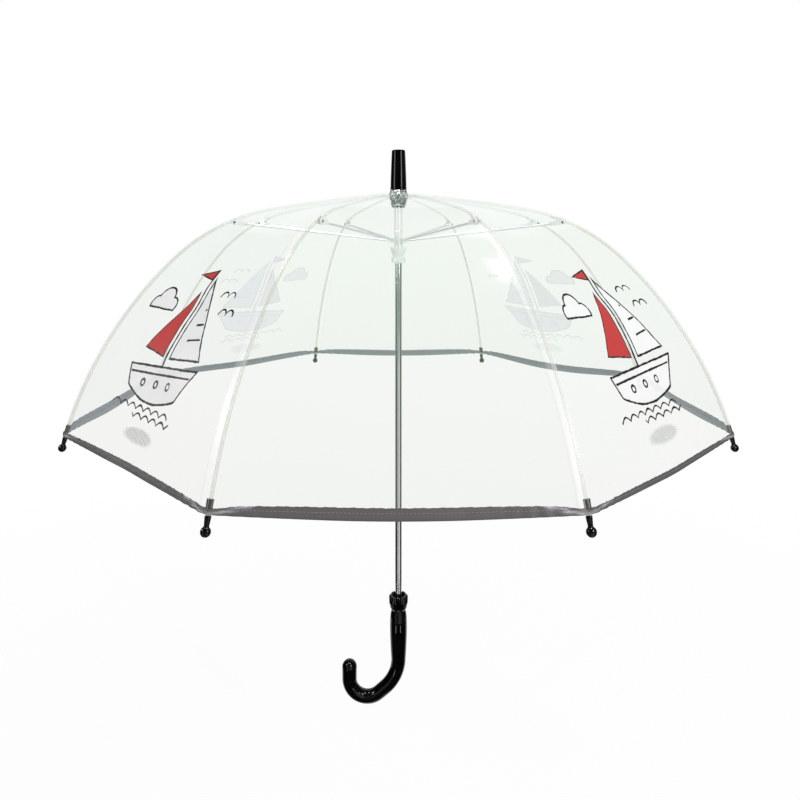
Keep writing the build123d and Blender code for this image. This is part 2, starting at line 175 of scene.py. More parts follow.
class HandleSettings(bpy.types.PropertyGroup):
    top: size("Grip top", 0.112, "Where the cup stands on the grip")
    top_radius: size("Grip radius at the top", 0.0087, "Below the cup")
    swell_radius: size("Swell radius", 0.0103, "Widest part of the grip")
    bend_radius: size("Bend radius", 0.0087, "Thickness where the grip runs into the crook")
    hook_radius: size("Hook radius", 0.0079, "Thickness of the crook at its foot")
    end_radius: size("End radius", 0.0089, "Thickness of the crook's rounded end")
    bend: size("Bend", 0.046, "Centre line where the grip runs into the crook")
    bend_turn: turn("Bend turn", 50, "Turn of that bend")
    straight: size("Straight", 0.0095, "Straight run between the two bends")
    curl: size("Curl", 0.0217, "Centre line of the crook")
    end: size("End", 0.014, "Straight end of the crook")
    sides: count("Sides", 48, "Sides of the section")


class StageSettings(bpy.types.PropertyGroup):
    lens: FloatProperty(name="Lens", description="Focal length on a 36 mm sensor", default=31.84)
    distance: size("Camera distance", 0.858, "From the shaft to the camera")
    eye: size("Eye height", 0.573, "Height of the level camera")
    floor_drop: size("Floor drop", 0.16, "How far the floor lies under the crook")
    ambient: share("Ambient", 0.72, "Strength of the white surroundings as light")


GROUPS = {"canopy": CanopySettings, "hem": HemSettings, "framework": FrameworkSettings,
          "handle": HandleSettings, "stage": StageSettings}


def settings(name):
    return getattr(bpy.context.scene, f"umbrella_{name}")


# ---------- shader expressions ----------
class Term:
    """A shader socket that takes part in Python expressions."""

    def __init__(self, shader, socket):
        self.shader, self.socket = shader, socket

    def math(self, operation, *others, clamp=False):
        return self.shader.math(operation, self, *others, clamp=clamp)

    def __add__(self, other):
        return self.math("ADD", other)

    def __sub__(self, other):
        return self.math("SUBTRACT", other)

    def __rsub__(self, other):
        return self.shader.math("SUBTRACT", other, self)

    def __mul__(self, other):
        return self.math("MULTIPLY", other)

    def __pow__(self, other):
        return self.math("POWER", other)

    def __abs__(self):
        return self.math("ABSOLUTE")

    __radd__, __rmul__ = __add__, __mul__


class Finish:
    """A material whose Principled shader is fed by expressions."""

    def __init__(self, name, **fixed):
        self.material = bpy.data.materials.new(name)
        self.material.use_nodes = True
        self.tree = self.material.node_tree
        self.surface = self.tree.nodes["Principled BSDF"]
        self.set(**fixed)

    def set(self, **inputs):
        """Feeds the shader; a name's underscores stand for spaces."""
        for name, value in inputs.items():
            self.feed(self.surface.inputs[name.replace("_", " ")], value)

    def feed(self, socket, value):
        if isinstance(value, Term):
            self.tree.links.new(value.socket, socket)
        elif hasattr(value, "__len__") and socket.type == "RGBA":
            socket.default_value = (*value[:3], 1.0)
        else:
            socket.default_value = value

    def node(self, kind, options=None, inputs=None, output=0):
        """Adds a node of a type with its options and its sockets' values or links."""
        made = self.tree.nodes.new(kind)
        for name, value in (options or {}).items():
            setattr(made, name, value)
        for name, value in (inputs or {}).items():
            self.feed(made.inputs[name], value)
        return Term(self, made.outputs[output])

    def math(self, operation, *values, clamp=False):
        inputs = dict(enumerate(values))
        return self.node("ShaderNodeMath", {"operation": operation, "use_clamp": clamp}, inputs)

    def mix(self, factor, a, b):
        """Runs from colour a to colour b."""
        return self.node("ShaderNodeMix", {"data_type": "RGBA"}, {0: factor, 6: a, 7: b}, 2)

    def noise(self, scale, vector=None, detail=2.0, stretch=None):
        """Smooth noise from 0 to 1; scale is in cells for each metre."""
        vector = vector or self.place()
        if stretch:
            vector = self.node("ShaderNodeMapping", None, {"Vector": vector, "Scale": stretch})
        return self.node("ShaderNodeTexNoise", None,
                         {"Vector": vector, "Scale": scale, "Detail": detail})

    def place(self):
        return self.node("ShaderNodeTexCoord", output="Object")

    def above(self, start, run):
        """Rises from 0 to 1 over a run of height."""
        height = self.node("ShaderNodeSeparateXYZ", None, {0: self.place()}, 2)
        return self.math("MULTIPLY_ADD", height, 1 / run, -start / run, clamp=True)

    def edgewise(self, blend):
        """0 where the surface faces the eye, 1 where it is seen on edge."""
        return self.node("ShaderNodeLayerWeight", None, {"Blend": blend}, "Facing")

    def attribute(self, name):
        return self.node("ShaderNodeAttribute", {"attribute_name": name}, output="Fac")

    def flat(self):
        """The flat coordinates that film and tape carry, in metres."""
        return self.node("ShaderNodeUVMap", {"uv_map": "flat"})

    def uv(self):
        """The two flat coordinates, in millimetres."""
        across, along = (self.node("ShaderNodeSeparateXYZ", None, {0: self.flat()}, i)
                         for i in (0, 1))
        return across * 1000, along * 1000

    def bump(self, height, distance, strength=1.0):
        return self.node("ShaderNodeBump", None,
                         {"Height": height, "Distance": distance, "Strength": strength})


CROWN = (0.5725, 0.025)  # height where the crown's looks start, and the run up to them
SHOULDER = (0.4125, 0.125)


def gloss_black():
    """Injection-moulded black with a slight orange peel and fine handling marks."""
    f = Finish("gloss_black", Specular_IOR_Level=0.28)
    cloud, peel = f.noise(45), f.noise(70)
    marks = f.noise(900, stretch=(1, 1, 0.08), detail=3)
    f.set(Base_Color=f.mix(cloud, (0.0008, 0.0008, 0.0010), (0.0020, 0.0020, 0.0022)),
          Roughness=0.03 + cloud * 0.04 + marks * marks * 0.04,
          Normal=f.bump(peel + marks * 0.06, 0.00004))
    return f.material


def plated(name, tint, dark, rough, grain, metal=1.0):
    """Plated steel with lengthwise drawing marks."""
    f = Finish(name, Metallic=metal)
    streak = f.noise(grain, stretch=(1, 1, 0.02), detail=4)
    smudge = f.noise(70)
    f.set(Base_Color=f.mix(streak, dark, tint), Roughness=rough + streak * 0.10 + smudge * 0.08,
          Normal=f.bump(streak, 0.00001))
    return f.material


def milky_plastic(name, tint, cover):
    """Part-clear moulded plastic with faint flow marks."""
    f = Finish(name, Specular_IOR_Level=0.6)
    flow = f.noise(160, stretch=(1, 1, 0.3))
    f.set(Base_Color=f.mix(flow, tint, [c * 0.95 for c in tint]), Roughness=0.22 + flow * 0.18,
          Alpha=f.math("MINIMUM", cover + f.edgewise(0.45) * (1 - cover), 1.0),
          Normal=f.bump(flow, 0.00004))
    return f.material


def glass_fibre():
    """Pale part-clear glass-fibre rod with fine fibres along it, clearer over the crown."""
    f = Finish("glass_fibre", Specular_IOR_Level=0.6)
    fibre = f.noise(1500, stretch=(1, 1, 0.2), detail=3)
    crown = f.above(*CROWN)
    resin = f.mix(fibre, (0.74, 0.76, 0.66), (0.62, 0.65, 0.52))
    f.set(Base_Color=f.mix(crown, resin, (0.68, 0.75, 0.66)), Roughness=0.18 + fibre * 0.2,
          Alpha=(0.22 + f.edgewise(0.5) * 0.34) * (1 - crown * 0.55), Normal=f.bump(fibre, 0.00002))
    return f.material


def foil():
    """Crumpled bright foil with painted shade in its creases."""
    f = Finish("crumpled_foil", Metallic=0.9)
    crease = f.node("ShaderNodeTexVoronoi", {"feature": "DISTANCE_TO_EDGE"},
                    {"Vector": f.place(), "Scale": 520.0}, "Distance")
    cloud = f.noise(300, detail=4)
    ridge = f.math("MINIMUM", crease * 8, 1.0)
    # painted shade: the foil's colour runs from bright to dark in its creases
    painted_light = f.math("MULTIPLY_ADD", ridge * cloud, 2.6, -0.5, clamp=True)
    f.set(Base_Color=f.mix(painted_light, (0.10, 0.10, 0.11), (0.93, 0.95, 0.98)),
          Roughness=0.16 + cloud * 0.3, Normal=f.bump(ridge + cloud * 2, 0.0005))
    return f.material


def grey_tape(name, shade):
    """Reflective woven tape: warm dark grey outside, cooler and lighter inside; a scale under 1
    darkens its outside as painted shade.
    """
    f = Finish(name, Specular_IOR_Level=0.3)
    hem, yarn = settings("hem"), 9.0  # radians for each millimetre of weave
    across, along = f.uv()
    weave = (f.math("SINE", across * yarn) * f.math("SINE", along * yarn)) * 0.5 + 0.5
    beads = f.noise(2600)
    patch = f.noise(55)
    inside = f.attribute("inside")
    tone = f.mix(inside, [c * shade for c in hem.outside], hem.inside)
    tone = f.mix((weave * 0.10 + patch * 0.22 + beads * 0.10) * shade, tone, (0.23, 0.215, 0.22))
    # painted highlight: light grey streaks along the folds at each corner, masked by the attribute
    # gathered
    folds = f.noise(95, f.flat(), stretch=(0.5, 5, 1))
    folds = f.math("MULTIPLY_ADD", folds, 5.0, -1.6, clamp=True) * f.attribute("gathered")
    tone = f.mix(folds * 0.85, tone, (0.55, 0.56, 0.59))
    # darker along the tape's edges and round its fold over the film's edge, less on the inner leaf
    edge_darkening = f.attribute("edge") * (0.45 - inside * 0.3)
    f.set(Base_Color=f.mix(edge_darkening, tone, (0.055, 0.05, 0.05)), Metallic=0.06 + patch * 0.10,
          Roughness=0.42 + weave * 0.16, Normal=f.bump(weave + beads * 0.6, 0.00006))
    return f.material


def thread():
    """Twisted sewing thread, a little lighter than the tape."""
    f = Finish("stitch_thread")
    twist = f.noise(2200, detail=3)
    f.set(Base_Color=f.mix(twist, (0.20, 0.165, 0.17), (0.32, 0.27, 0.275)),
          Roughness=0.55 + twist * 0.2, Normal=f.bump(twist, 0.00008))
    return f.material


# ---------- print: a toy sailboat, in millimetres from the middle of a gore ----------
class Drawing:
    """Signed distances and inks in the flat coordinates of one gore."""

    def __init__(self, finish):
        self.f = finish
        self.x, self.y = finish.uv()
        flat = finish.flat()
        self.wave = (finish.noise(55, flat, 1.0) - 0.5) * 5.0
        self.brush = finish.noise(150, flat, 2.0)
        self.bristle = finish.noise(700, flat, 3.0)

    def disc(self, x, y, radius, squeeze=1.0):
        """Distance outside a disc, which a squeeze below 1 makes wider than high."""
        dx, dy = (self.x - x) * squeeze, self.y - y
        return self.f.math("SQRT", dx * dx + dy * dy) - radius

    def side(self, a, b):
        """Distance to the right of the line from a to b."""
        dx, dy = b[0] - a[0], b[1] - a[1]
        run = (dx * dx + dy * dy) ** 0.5
        return (self.x - a[0]) * (dy / run) + (self.y - a[1]) * (-dx / run)

    def patch(self, *corners):
        """A convex patch whose corners run anticlockwise."""
        sides = [self.side(a, b) for a, b in zip(corners, corners[1:] + corners[:1])]
        return self.both(*sides)

    def both(self, *parts):
        """What all the patches share."""
        return reduce(lambda a, b: self.f.math("MAXIMUM", a, b), parts)

    def either(self, *parts):
        """What any of the patches covers."""
        return reduce(lambda a, b: self.f.math("MINIMUM", a, b), parts)

    def inside(self, distance, soft=0.5):
        """1 inside a patch and 0 outside, with a soft edge in millimetres."""
        return self.f.math("MULTIPLY_ADD", distance, -1.0 / soft, 0.5, clamp=True)

    def line(self, distance, width=1.5):
        """A brush line of uneven width along the edge of a patch, with dry gaps."""
        edge = abs(distance + self.wave * 0.25) - (0.35 + self.brush * width)
        dry = self.f.math("GREATER_THAN", self.bristle + self.brush * 0.35, 0.47)
        return self.inside(edge) * dry


def sailboat(f):
    """The print's masks: white, red, black and grey."""
    d = Drawing(f)
    thin = 0.1  # half the width of a thin line before the brush widens it
    deck = d.side((62, 95), (-54, 88))
    hull = d.both(deck, d.disc(4, 164, 106), d.side((-54, 92), (-38, 58)),
                  d.side((40, 58), (66, 96)))
    rail = d.both(abs(deck + 7) - 2 * thin, hull + 3)
    ports = d.either(*(abs(d.disc(x, 75 + x * 0.05, 3.1)) - 2 * thin for x in (-20, 3, 26)))
    sail = d.patch((11, 100), (60, 104), (11, 184))
    leech = d.side((26, 0), (26, 9)) * -1
    battens = d.either(*(d.both(abs(d.side((11, h), (40, h + 4))) - thin, sail + 3, leech)
                         for h in (118, 134, 150)))
    jib = d.patch((-40, 106), (-1, 101), (-1, 170))
    pennant = d.patch((4, 184), (4, 196), (-20, 189))
    mast = d.both(abs(d.x - 5) - 0.3, d.patch((0, 92), (10, 92), (10, 196), (0, 196)))
    puffs = d.either(d.disc(-66, 150, 9), d.disc(-53, 157, 13), d.disc(-39, 151, 9))
    cloud = d.both(puffs, 146 - d.y)
    wings = [(d.either(*(abs(d.disc(x + wing, y, 6.2)) for wing in (-6, 6))), y)
             for x, y in ((50, 166), (64, 148))]
    gulls = d.either(*(d.both(pair - thin, y + 1 - d.y) for pair, y in wings))
    swell = abs(f.math("SINE", d.x * 0.21)) * 4.2
    waves = d.either(*(d.both(abs(d.y - h - swell) - 2 * thin, abs(d.x - x) - w)
                       for h, x, w in ((50, -8, 52), (43, 16, 34))))
    hatch = f.math("SINE", d.x * 2.6 + d.y * 0.8 + d.wave)
    pool = d.disc(4, 29, 0, 0.27) - 7.6 + d.wave * 0.4 + hatch * 1.5
    white = d.inside(d.either(hull, sail, cloud))
    red = d.inside(d.either(jib, pennant) + d.brush * 0.6)
    black = d.line(hull)
    for part in (sail, cloud, mast):
        black = f.math("MAXIMUM", black, d.line(part))
    for part in (d.either(jib, pennant), rail, ports, battens, gulls, waves):
        black = f.math("MAXIMUM", black, d.line(part, 0.9))
    grey = d.inside(pool, 1.2) * f.math("GREATER_THAN", hatch + d.bristle * 1.2, 0.10)
    return white, red, black, grey


def film_finish(name, printed):
    """Clear soft film with welded seams at the ribs, painted shade beside them and, on every other
    gore, a print.
    """
    f = Finish(name, Specular_IOR_Level=0.5, IOR=1.5)
    c, flat, (_, along) = settings("canopy"), f.flat(), f.uv()
    seam, lap = f.attribute("seam") * 1000, c.weld * 1000
    facing = f.edgewise(0.35)
    behind = f.node("ShaderNodeNewGeometry", output="Backfacing")
    ripple, haze = f.noise(38, flat), f.noise(9, flat, 1.0)
    weld = f.math("MULTIPLY_ADD", abs(seam + (lap / 2 - 1)), -2.0, lap, clamp=True)
    # painted shadow along the lap's outer edge
    rim = f.math("MULTIPLY_ADD", abs(seam + lap), -0.9, 1.3, clamp=True)
    # painted shade in the film's crease over the rod
    crease = f.math("MULTIPLY_ADD", abs(seam - 1.2), -2.6, 1.0, clamp=True)
    knurl = f.math("SINE", along * 3.2) * weld
    crown, upper = f.above(*CROWN), f.above(*SHOULDER)
    cover = (c.cover + haze * 0.03) * (1 - behind * 0.64) * (1 - facing * 0.35) + facing ** 6 * 0.25
    # the lap's second layer adds real cover; its edge and the crease add painted shade
    lap_cover_and_shade_marks = weld * 0.10 * (1 - behind) + (rim * 0.08 + crease * 0.08) * (1 - behind * 0.6)
    cover = cover + lap_cover_and_shade_marks * (1 - crown * 0.7)
    tint = f.mix(behind, f.mix(upper, c.tint, c.tint_top), (0.44, 0.62, 0.45))
    tint = f.mix(weld * 0.8, tint, (0.86, 0.88, 0.84))
    # painted shade: the lap's edge and the crease darken the tint
    tint = f.mix(f.math("MAXIMUM", rim * 0.8, crease) * (1 - crown * 0.7), tint, (0.50, 0.52, 0.38))
    rough = 0.07 + ripple * 0.06 + f.math("MAXIMUM", weld, rim) * 0.22
    height = ripple * 0.6 + f.noise(190, flat) * 0.12 + knurl * 0.05
    if printed:
        white, red, black, grey = sailboat(f)
        ink = f.mix(red, f.mix(grey, c.white_ink, c.grey_ink), c.red_ink)
        ink = f.mix(black, ink, c.black_ink)
        ink = f.mix(behind * 0.84, ink, c.back_ink)
        laid = reduce(lambda a, b: f.math("MAXIMUM", a, b),
                      (white * 0.93, grey * 0.75, red * 0.97, black))
        tint = f.mix(laid, tint, ink)
        cover = f.math("MAXIMUM", cover, laid * (1 - behind * 0.55))
        rough = rough + laid * 0.25
        height = height + laid * 0.4
    f.set(Base_Color=tint, Roughness=rough, Alpha=f.math("MINIMUM", cover, 1.0),
          Normal=f.bump(height, 0.0006, 0.6))
    return f.material


def material(name):
    """A finish by name, made when it is first asked for."""
    if name not in MADE:
        MADE[name] = FINISHES[name]()
    return MADE[name]


MADE = {}
FINISHES = {
    "gloss_black": gloss_black,
    "plated_tube": lambda: plated("plated_tube", (0.80, 0.83, 0.86), (0.58, 0.61, 0.64), 0.05, 900),
    "steel_wire": lambda: plated("steel_wire", (0.97, 0.98, 1.0), (0.84, 0.86, 0.89), 0.40, 1600,
                                 0.6),
    "dark_rivet": lambda: plated("dark_rivet", (0.16, 0.16, 0.17), (0.08, 0.08, 0.085), 0.22, 900),
    "milky_plastic": lambda: milky_plastic("milky_plastic", (0.98, 1.0, 1.0), 0.88),
    "glass_fibre": glass_fibre,
    "crumpled_foil": foil,
    "reflective_tape": lambda: grey_tape("reflective_tape", 1.0),
    # the tabs wear the same tape, darkened as painted shade
    "tab_tape": lambda: grey_tape("tab_tape", 0.42),
    "stitch_thread": thread,
    "plain_film": lambda: film_finish("plain_film", False),
    "printed_film": lambda: film_finish("printed_film", True),
}


# ---------- meshes ----------
def placed(name, data):
    """Puts a mesh, lamp or camera in the scene as an object."""
    made = bpy.data.objects.new(name, data)
    bpy.context.scene.collection.objects.link(made)
    return made


def piece(name, mesh, materials, body=None):
    """Puts a mesh in the scene as a finished piece that rides on a body."""
    made = placed(name, mesh)
    mesh.materials.clear()
    for m in [materials] if isinstance(materials, str) else materials:
        mesh.materials.append(material(m))
    if body:
        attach(made, body)
    return made


def net(points, faces, smooth=True, crease=None):
    """A mesh from points and faces, smooth but for edges sharper than a crease angle."""
    mesh = bpy.data.meshes.new("net")
    mesh.from_pydata([tuple(p) for p in np.asarray(points, float)], [], faces)
    mesh.validate()
    mesh.polygons.foreach_set("use_smooth", [smooth] * len(mesh.polygons))
    if crease:
        mesh.set_sharp_from_angle(angle=radians(crease))
    return mesh


def grid_faces(rows, cols):
    """Quads between neighbouring rows of points."""
    return [(i * cols + j, i * cols + j + 1, (i + 1) * cols + j + 1, (i + 1) * cols + j)
            for i in range(rows - 1) for j in range(cols - 1)]


def skin(rings, crease=None):
    """Closes a stack of rings of points; a ring of one point is a pole."""
    points, faces, last = [], [], None
    for ring in rings:
        here = range(len(points), len(points) + len(ring))
        points.extend(ring)
        if last:
            n = max(len(last), len(here))
            for j in range(n):
                k = (j + 1) % n
                face = [points_of[i % len(points_of)]
                        for points_of, i in ((last, j), (last, k), (here, k), (here, j))]
                faces.append(tuple(dict.fromkeys(face)))
        last = here
    return net(points, faces, crease=crease)


def lathe(profile, sides=48, crease=30):
    """Turns (radius, height) points round Z; radius 0 is a pole."""
    turns = [tau * j / sides for j in range(sides)]
    return skin([[(radius * cos(t), radius * sin(t), height) for t in turns] if radius > 0
                 else [(0, 0, height)] for radius, height in profile], crease)


def rounded(corners, radius, steps=4):
    """A profile's corners, each replaced by a short arc of about that radius."""
    out = [corners[0]]
    for a, b, c in zip(corners, corners[1:], corners[2:]):
        a, b, c = Vector(a), Vector(b), Vector(c)
        cut = min(radius, (b - a).length * 0.45, (c - b).length * 0.45)
        p, q = b + (a - b).normalized() * cut, b + (c - b).normalized() * cut
        for i in range(steps + 1):
            t = i / steps
            out.append(tuple(p * (1 - t) ** 2 + b * (2 * t * (1 - t)) + q * t ** 2))
    return out + [corners[-1]]


def hull(a, ra, b, rb, steps=10):
    """Outline round two circles, anticlockwise, as points in a plane."""
    ax, az, bx, bz = *a, *b
    run = ((bx - ax) ** 2 + (bz - az) ** 2) ** 0.5
    heading = atan2(bz - az, bx - ax)
    lean = np.arccos((ra - rb) / run)
    near = np.linspace(heading + lean, heading + tau - lean, steps)
    far = np.linspace(heading - lean, heading + lean, steps)
    return ([(ax + ra * cos(t), az + ra * sin(t)) for t in near]
            + [(bx + rb * cos(t), bz + rb * sin(t)) for t in far])


def plate(outline, low, high, soft=0.0003):
    """A plate in the rib's plane between two tangential offsets, with softened rims."""
    centre = np.mean(outline, axis=0)
    out = np.asarray(outline)
    inset = out + (centre - out) * (soft / np.linalg.norm(out - centre, axis=1))[:, None]
    levels = [(inset, low), (out, low + soft), (out, high - soft), (inset, high)]
    rings = [[(p[0], y, p[1]) for p in ring] for ring, y in levels]
    ends = [[(centre[0], y, centre[1])] for y in (low, high)]
    return outward(skin(ends[:1] + rings + ends[1:], crease=40))


def outward(mesh):
    """Turns a closed mesh's faces to point out of it."""
    bm = bmesh.new()
    bm.from_mesh(mesh)
    bmesh.ops.recalc_face_normals(bm, faces=bm.faces)
    bm.to_mesh(mesh)
    bm.free()
    return mesh


def joined(*meshes):
    """Several meshes as one."""
    bm = bmesh.new()
    for mesh in meshes:
        bm.from_mesh(mesh)
    out = meshes[0].copy()
    bm.to_mesh(out)
    bm.free()
    return out


def azimuth(k):
    """Where rib k points; the front gore lies between ribs 8 and 1."""
    return PITCH * (k - 0.5) - pi / 2


def outwards(k):
    """Away from the shaft along rib k, and the level direction across it."""
    out = Vector((cos(azimuth(k)), sin(azimuth(k)), 0))
    return out, (-out.y, out.x, 0)


def turned_to(k, mesh):
    """A mesh drawn in the XZ plane, turned into place at rib k."""
    mesh.transform(Matrix.Rotation(azimuth(k), 4, "Z"))
    return mesh


def round_the_shaft(name, mesh, materials, body, replaces=None):
    """One copy of a mesh for each rib, drawn in the XZ plane and turned into place."""
    made = []
    for k in range(1, RIBS + 1):
        made.append(piece(f"{name}_{k}", turned_to(k, mesh.copy()), materials,
                          body and f"{body}_{k}"))
        if replaces:
            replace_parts(made[-1], f"{replaces}_{k}")
    return made


def smooth_copy(node, finish, body="frame", crease=28):
    """A CAD node's own shape with its triangles merged and its curved faces smooth."""
    bm = bmesh.new()
    bm.from_mesh(frame["nodes"][node].data)
    bmesh.ops.remove_doubles(bm, verts=bm.verts, dist=1e-6)
    points = [v.co[:] for v in bm.verts]
    faces = [[v.index for v in f.verts] for f in bm.faces]
    bm.free()
    made = piece(f"{node}_dressed", net(points, faces, crease=crease), finish, body)
    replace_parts(made, node)
    return made


# ---------- geometry node trees ----------
class Growth:
    """A Geometry Nodes tree with named inputs that is run once and kept as a plain mesh."""

    def __init__(self, name, **inputs):
        self.tree = bpy.data.node_groups.new(name, "GeometryNodeTree")
        socket = self.tree.interface.new_socket
        socket("Geometry", in_out="INPUT", socket_type="NodeSocketGeometry")
        self.ids = {label: socket(label, in_out="INPUT", socket_type=f"NodeSocket{kind}").identifier
                    for label, kind in inputs.items()}
        socket("Geometry", in_out="OUTPUT", socket_type="NodeSocketGeometry")
        self.given = self.tree.nodes.new("NodeGroupInput")
        self.result = self.tree.nodes.new("NodeGroupOutput")

    def value(self, label):
        """What a named input holds."""
        return self.given.outputs[label]

    def add(self, kind, options=None, output=0, **inputs):
        """Adds a node of a type; underscores in the names of its inputs stand for spaces."""
        made = self.tree.nodes.new(kind)
        for name, value in (options or {}).items():
            setattr(made, name, value)
        for name, value in inputs.items():
            socket = made.inputs[name.replace("_", " ")]
            if isinstance(value, bpy.types.NodeSocket):
                self.tree.links.new(value, socket)
            else:
                socket.default_value = value
        return made.outputs[output]

    def end(self, geometry):
        """Closes the tree: instances made real, then the material."""
        real = self.add("GeometryNodeRealizeInstances", Geometry=geometry)
        painted = self.add("GeometryNodeSetMaterial", Geometry=real,
                           Material=self.value("Material"))
        self.tree.links.new(painted, self.result.inputs["Geometry"])

    def run(self, points, **values):
        """Runs the tree on a line of points and returns a plain mesh."""
        source = bpy.data.meshes.new("source")
        edges = [(i, i + 1) for i in range(len(points) - 1)]
        source.from_pydata([tuple(p) for p in points], edges, ())
        holder = placed("source", source)
        modifier = holder.modifiers.new("Growth", "NODES")
        modifier.node_group = self.tree
        for label, value in values.items():
            modifier[self.ids[label]] = value
        bpy.context.view_layer.update()
        evaluated = holder.evaluated_get(bpy.context.evaluated_depsgraph_get())
        mesh = bpy.data.meshes.new_from_object(evaluated)
        holder.modifiers.clear()
        bpy.data.objects.remove(holder)
        mesh.polygons.foreach_set("use_smooth", [True] * len(mesh.polygons))
        return mesh


def wire_tree():
    """A round wire along a line of points."""
    g = Growth("wire", Radius="Float", Sides="Int", Material="Material")
    line = g.add("GeometryNodeMeshToCurve", Mesh=g.given.outputs["Geometry"])
    section = g.add("GeometryNodeCurvePrimitiveCircle", Resolution=g.value("Sides"),
                    Radius=g.value("Radius"))
    g.end(g.add("GeometryNodeCurveToMesh", Curve=line, Profile_Curve=section, Fill_Caps=True))
    return g


def stitch_tree():
    """Stitches at an even pitch along a line of points."""
    g = Growth("stitches", Pitch="Float", Stitch="Float", Thread="Float", Material="Material")
    line = g.add("GeometryNodeMeshToCurve", Mesh=g.given.outputs["Geometry"])
    line = g.add("GeometryNodeResampleCurve", {"mode": "LENGTH"}, Curve=line,
                 Length=g.value("Pitch"))
    bead = g.add("GeometryNodeMeshUVSphere", Segments=6, Rings=4, Radius=0.5)
    sizes = g.add("ShaderNodeCombineXYZ", X=g.value("Stitch"), Y=g.value("Thread"),
                  Z=g.value("Thread"))
    aim = g.add("FunctionNodeAlignRotationToVector", {"axis": "X"},
                Vector=g.add("GeometryNodeInputTangent"))
    g.end(g.add("GeometryNodeInstanceOnPoints", Points=line, Instance=bead, Rotation=aim,
                Scale=sizes))
    return g


# ---------- the canopy's surface ----------
def canopy_arcs():
    """Radius and turn of the arcs over a rib, from the hub down."""
    c = settings("canopy")
    return ((c.crown_arc, c.crown_turn), (c.shoulder_arc, c.shoulder_turn),
            (c.skirt_arc, c.skirt_turn))


def canopy_length():
    """From the hub to the hem along a rib."""
    return sum(radius * turned for radius, turned in canopy_arcs())


def canopy_line(s, depth=0.0):
    """Radius, height and slope over a rib, s along the film and depth under its outer face."""
    c = settings("canopy")
    s = np.asarray(s, float)
    x, z, slope = c.hub_radius + 0 * s, c.hub_height + 0 * s, c.hub_slope + 0 * s
    for radius, turned in canopy_arcs():
        ahead = slope + np.maximum(np.clip(s, None, radius * turned), 0) / radius
        x = x + radius * (np.sin(ahead) - np.sin(slope))
        z = z + radius * (np.cos(ahead) - np.cos(slope))
        slope = ahead
        s = s - radius * turned
    beyond = np.maximum(s, 0)
    x, z = x + beyond * np.cos(slope), z - beyond * np.sin(slope)
    return x - depth * np.sin(slope), z - depth * np.cos(slope), slope


def canopy_at(radius):
    """How far along the film a radius is reached."""
    s = np.linspace(0, canopy_length(), 4000)
    return float(np.interp(radius, canopy_line(s)[0], s))


def gore_height(s):
    """Distance from the hem up the middle of a gore, on the flat film."""
    fine = np.linspace(0, canopy_length(), 2000)
    slope = canopy_line(fine)[2]
    step = np.hypot(np.cos(slope) * cos(PITCH / 2), np.sin(slope)) * (fine[1] - fine[0])
    total = np.concatenate([[0], np.cumsum((step[1:] + step[:-1]) / 2)])
    return total[-1] - np.interp(s, fine, total) - np.maximum(np.asarray(s) - fine[-1], 0)


# by gore: bow of the hem and width of the tape, as shares of the even ones
UNEVEN_HEM = {1: (1.45, 0.48), 2: (1.0, 1.25), 3: (2.7, 1.0), 5: (0.2, 1.0), 6: (1.0, 1.35),
              7: (0.2, 0.66), 8: (1.5, 0.9)}
# slack of the film: depth in millimetres, turns up the gore and across it in radians a metre
SLACK = ((0.9, 52, 21), (0.6, 95, 33), (0.35, 160, 70))
TAUT = 0.12  # from the hub, where the film hardly sags
GATHER_UP, GATHER_ACROSS = 0.030, 0.045  # reach of the gathers from each corner of the hem
GATHER_PITCH, GATHER_DEPTH = 0.011, 0.0007


def uneven_hem(gore):
    """Shares of the hem's bow and of the tape's width in the gore after a rib."""
    return UNEVEN_HEM.get((gore - 1) % RIBS + 1, (1.0, 1.0))


def by_gore(across, k, choose):
    """A value for each column of rib k's film, from the gore on its own side."""
    return np.where(across > 0, choose(k), choose(k - 1))


def gore_waves(k):
    """Phases of the slack in the gore after rib k."""
    return np.random.default_rng(40 + (k - 1) % RIBS).uniform(0, tau, len(SLACK))


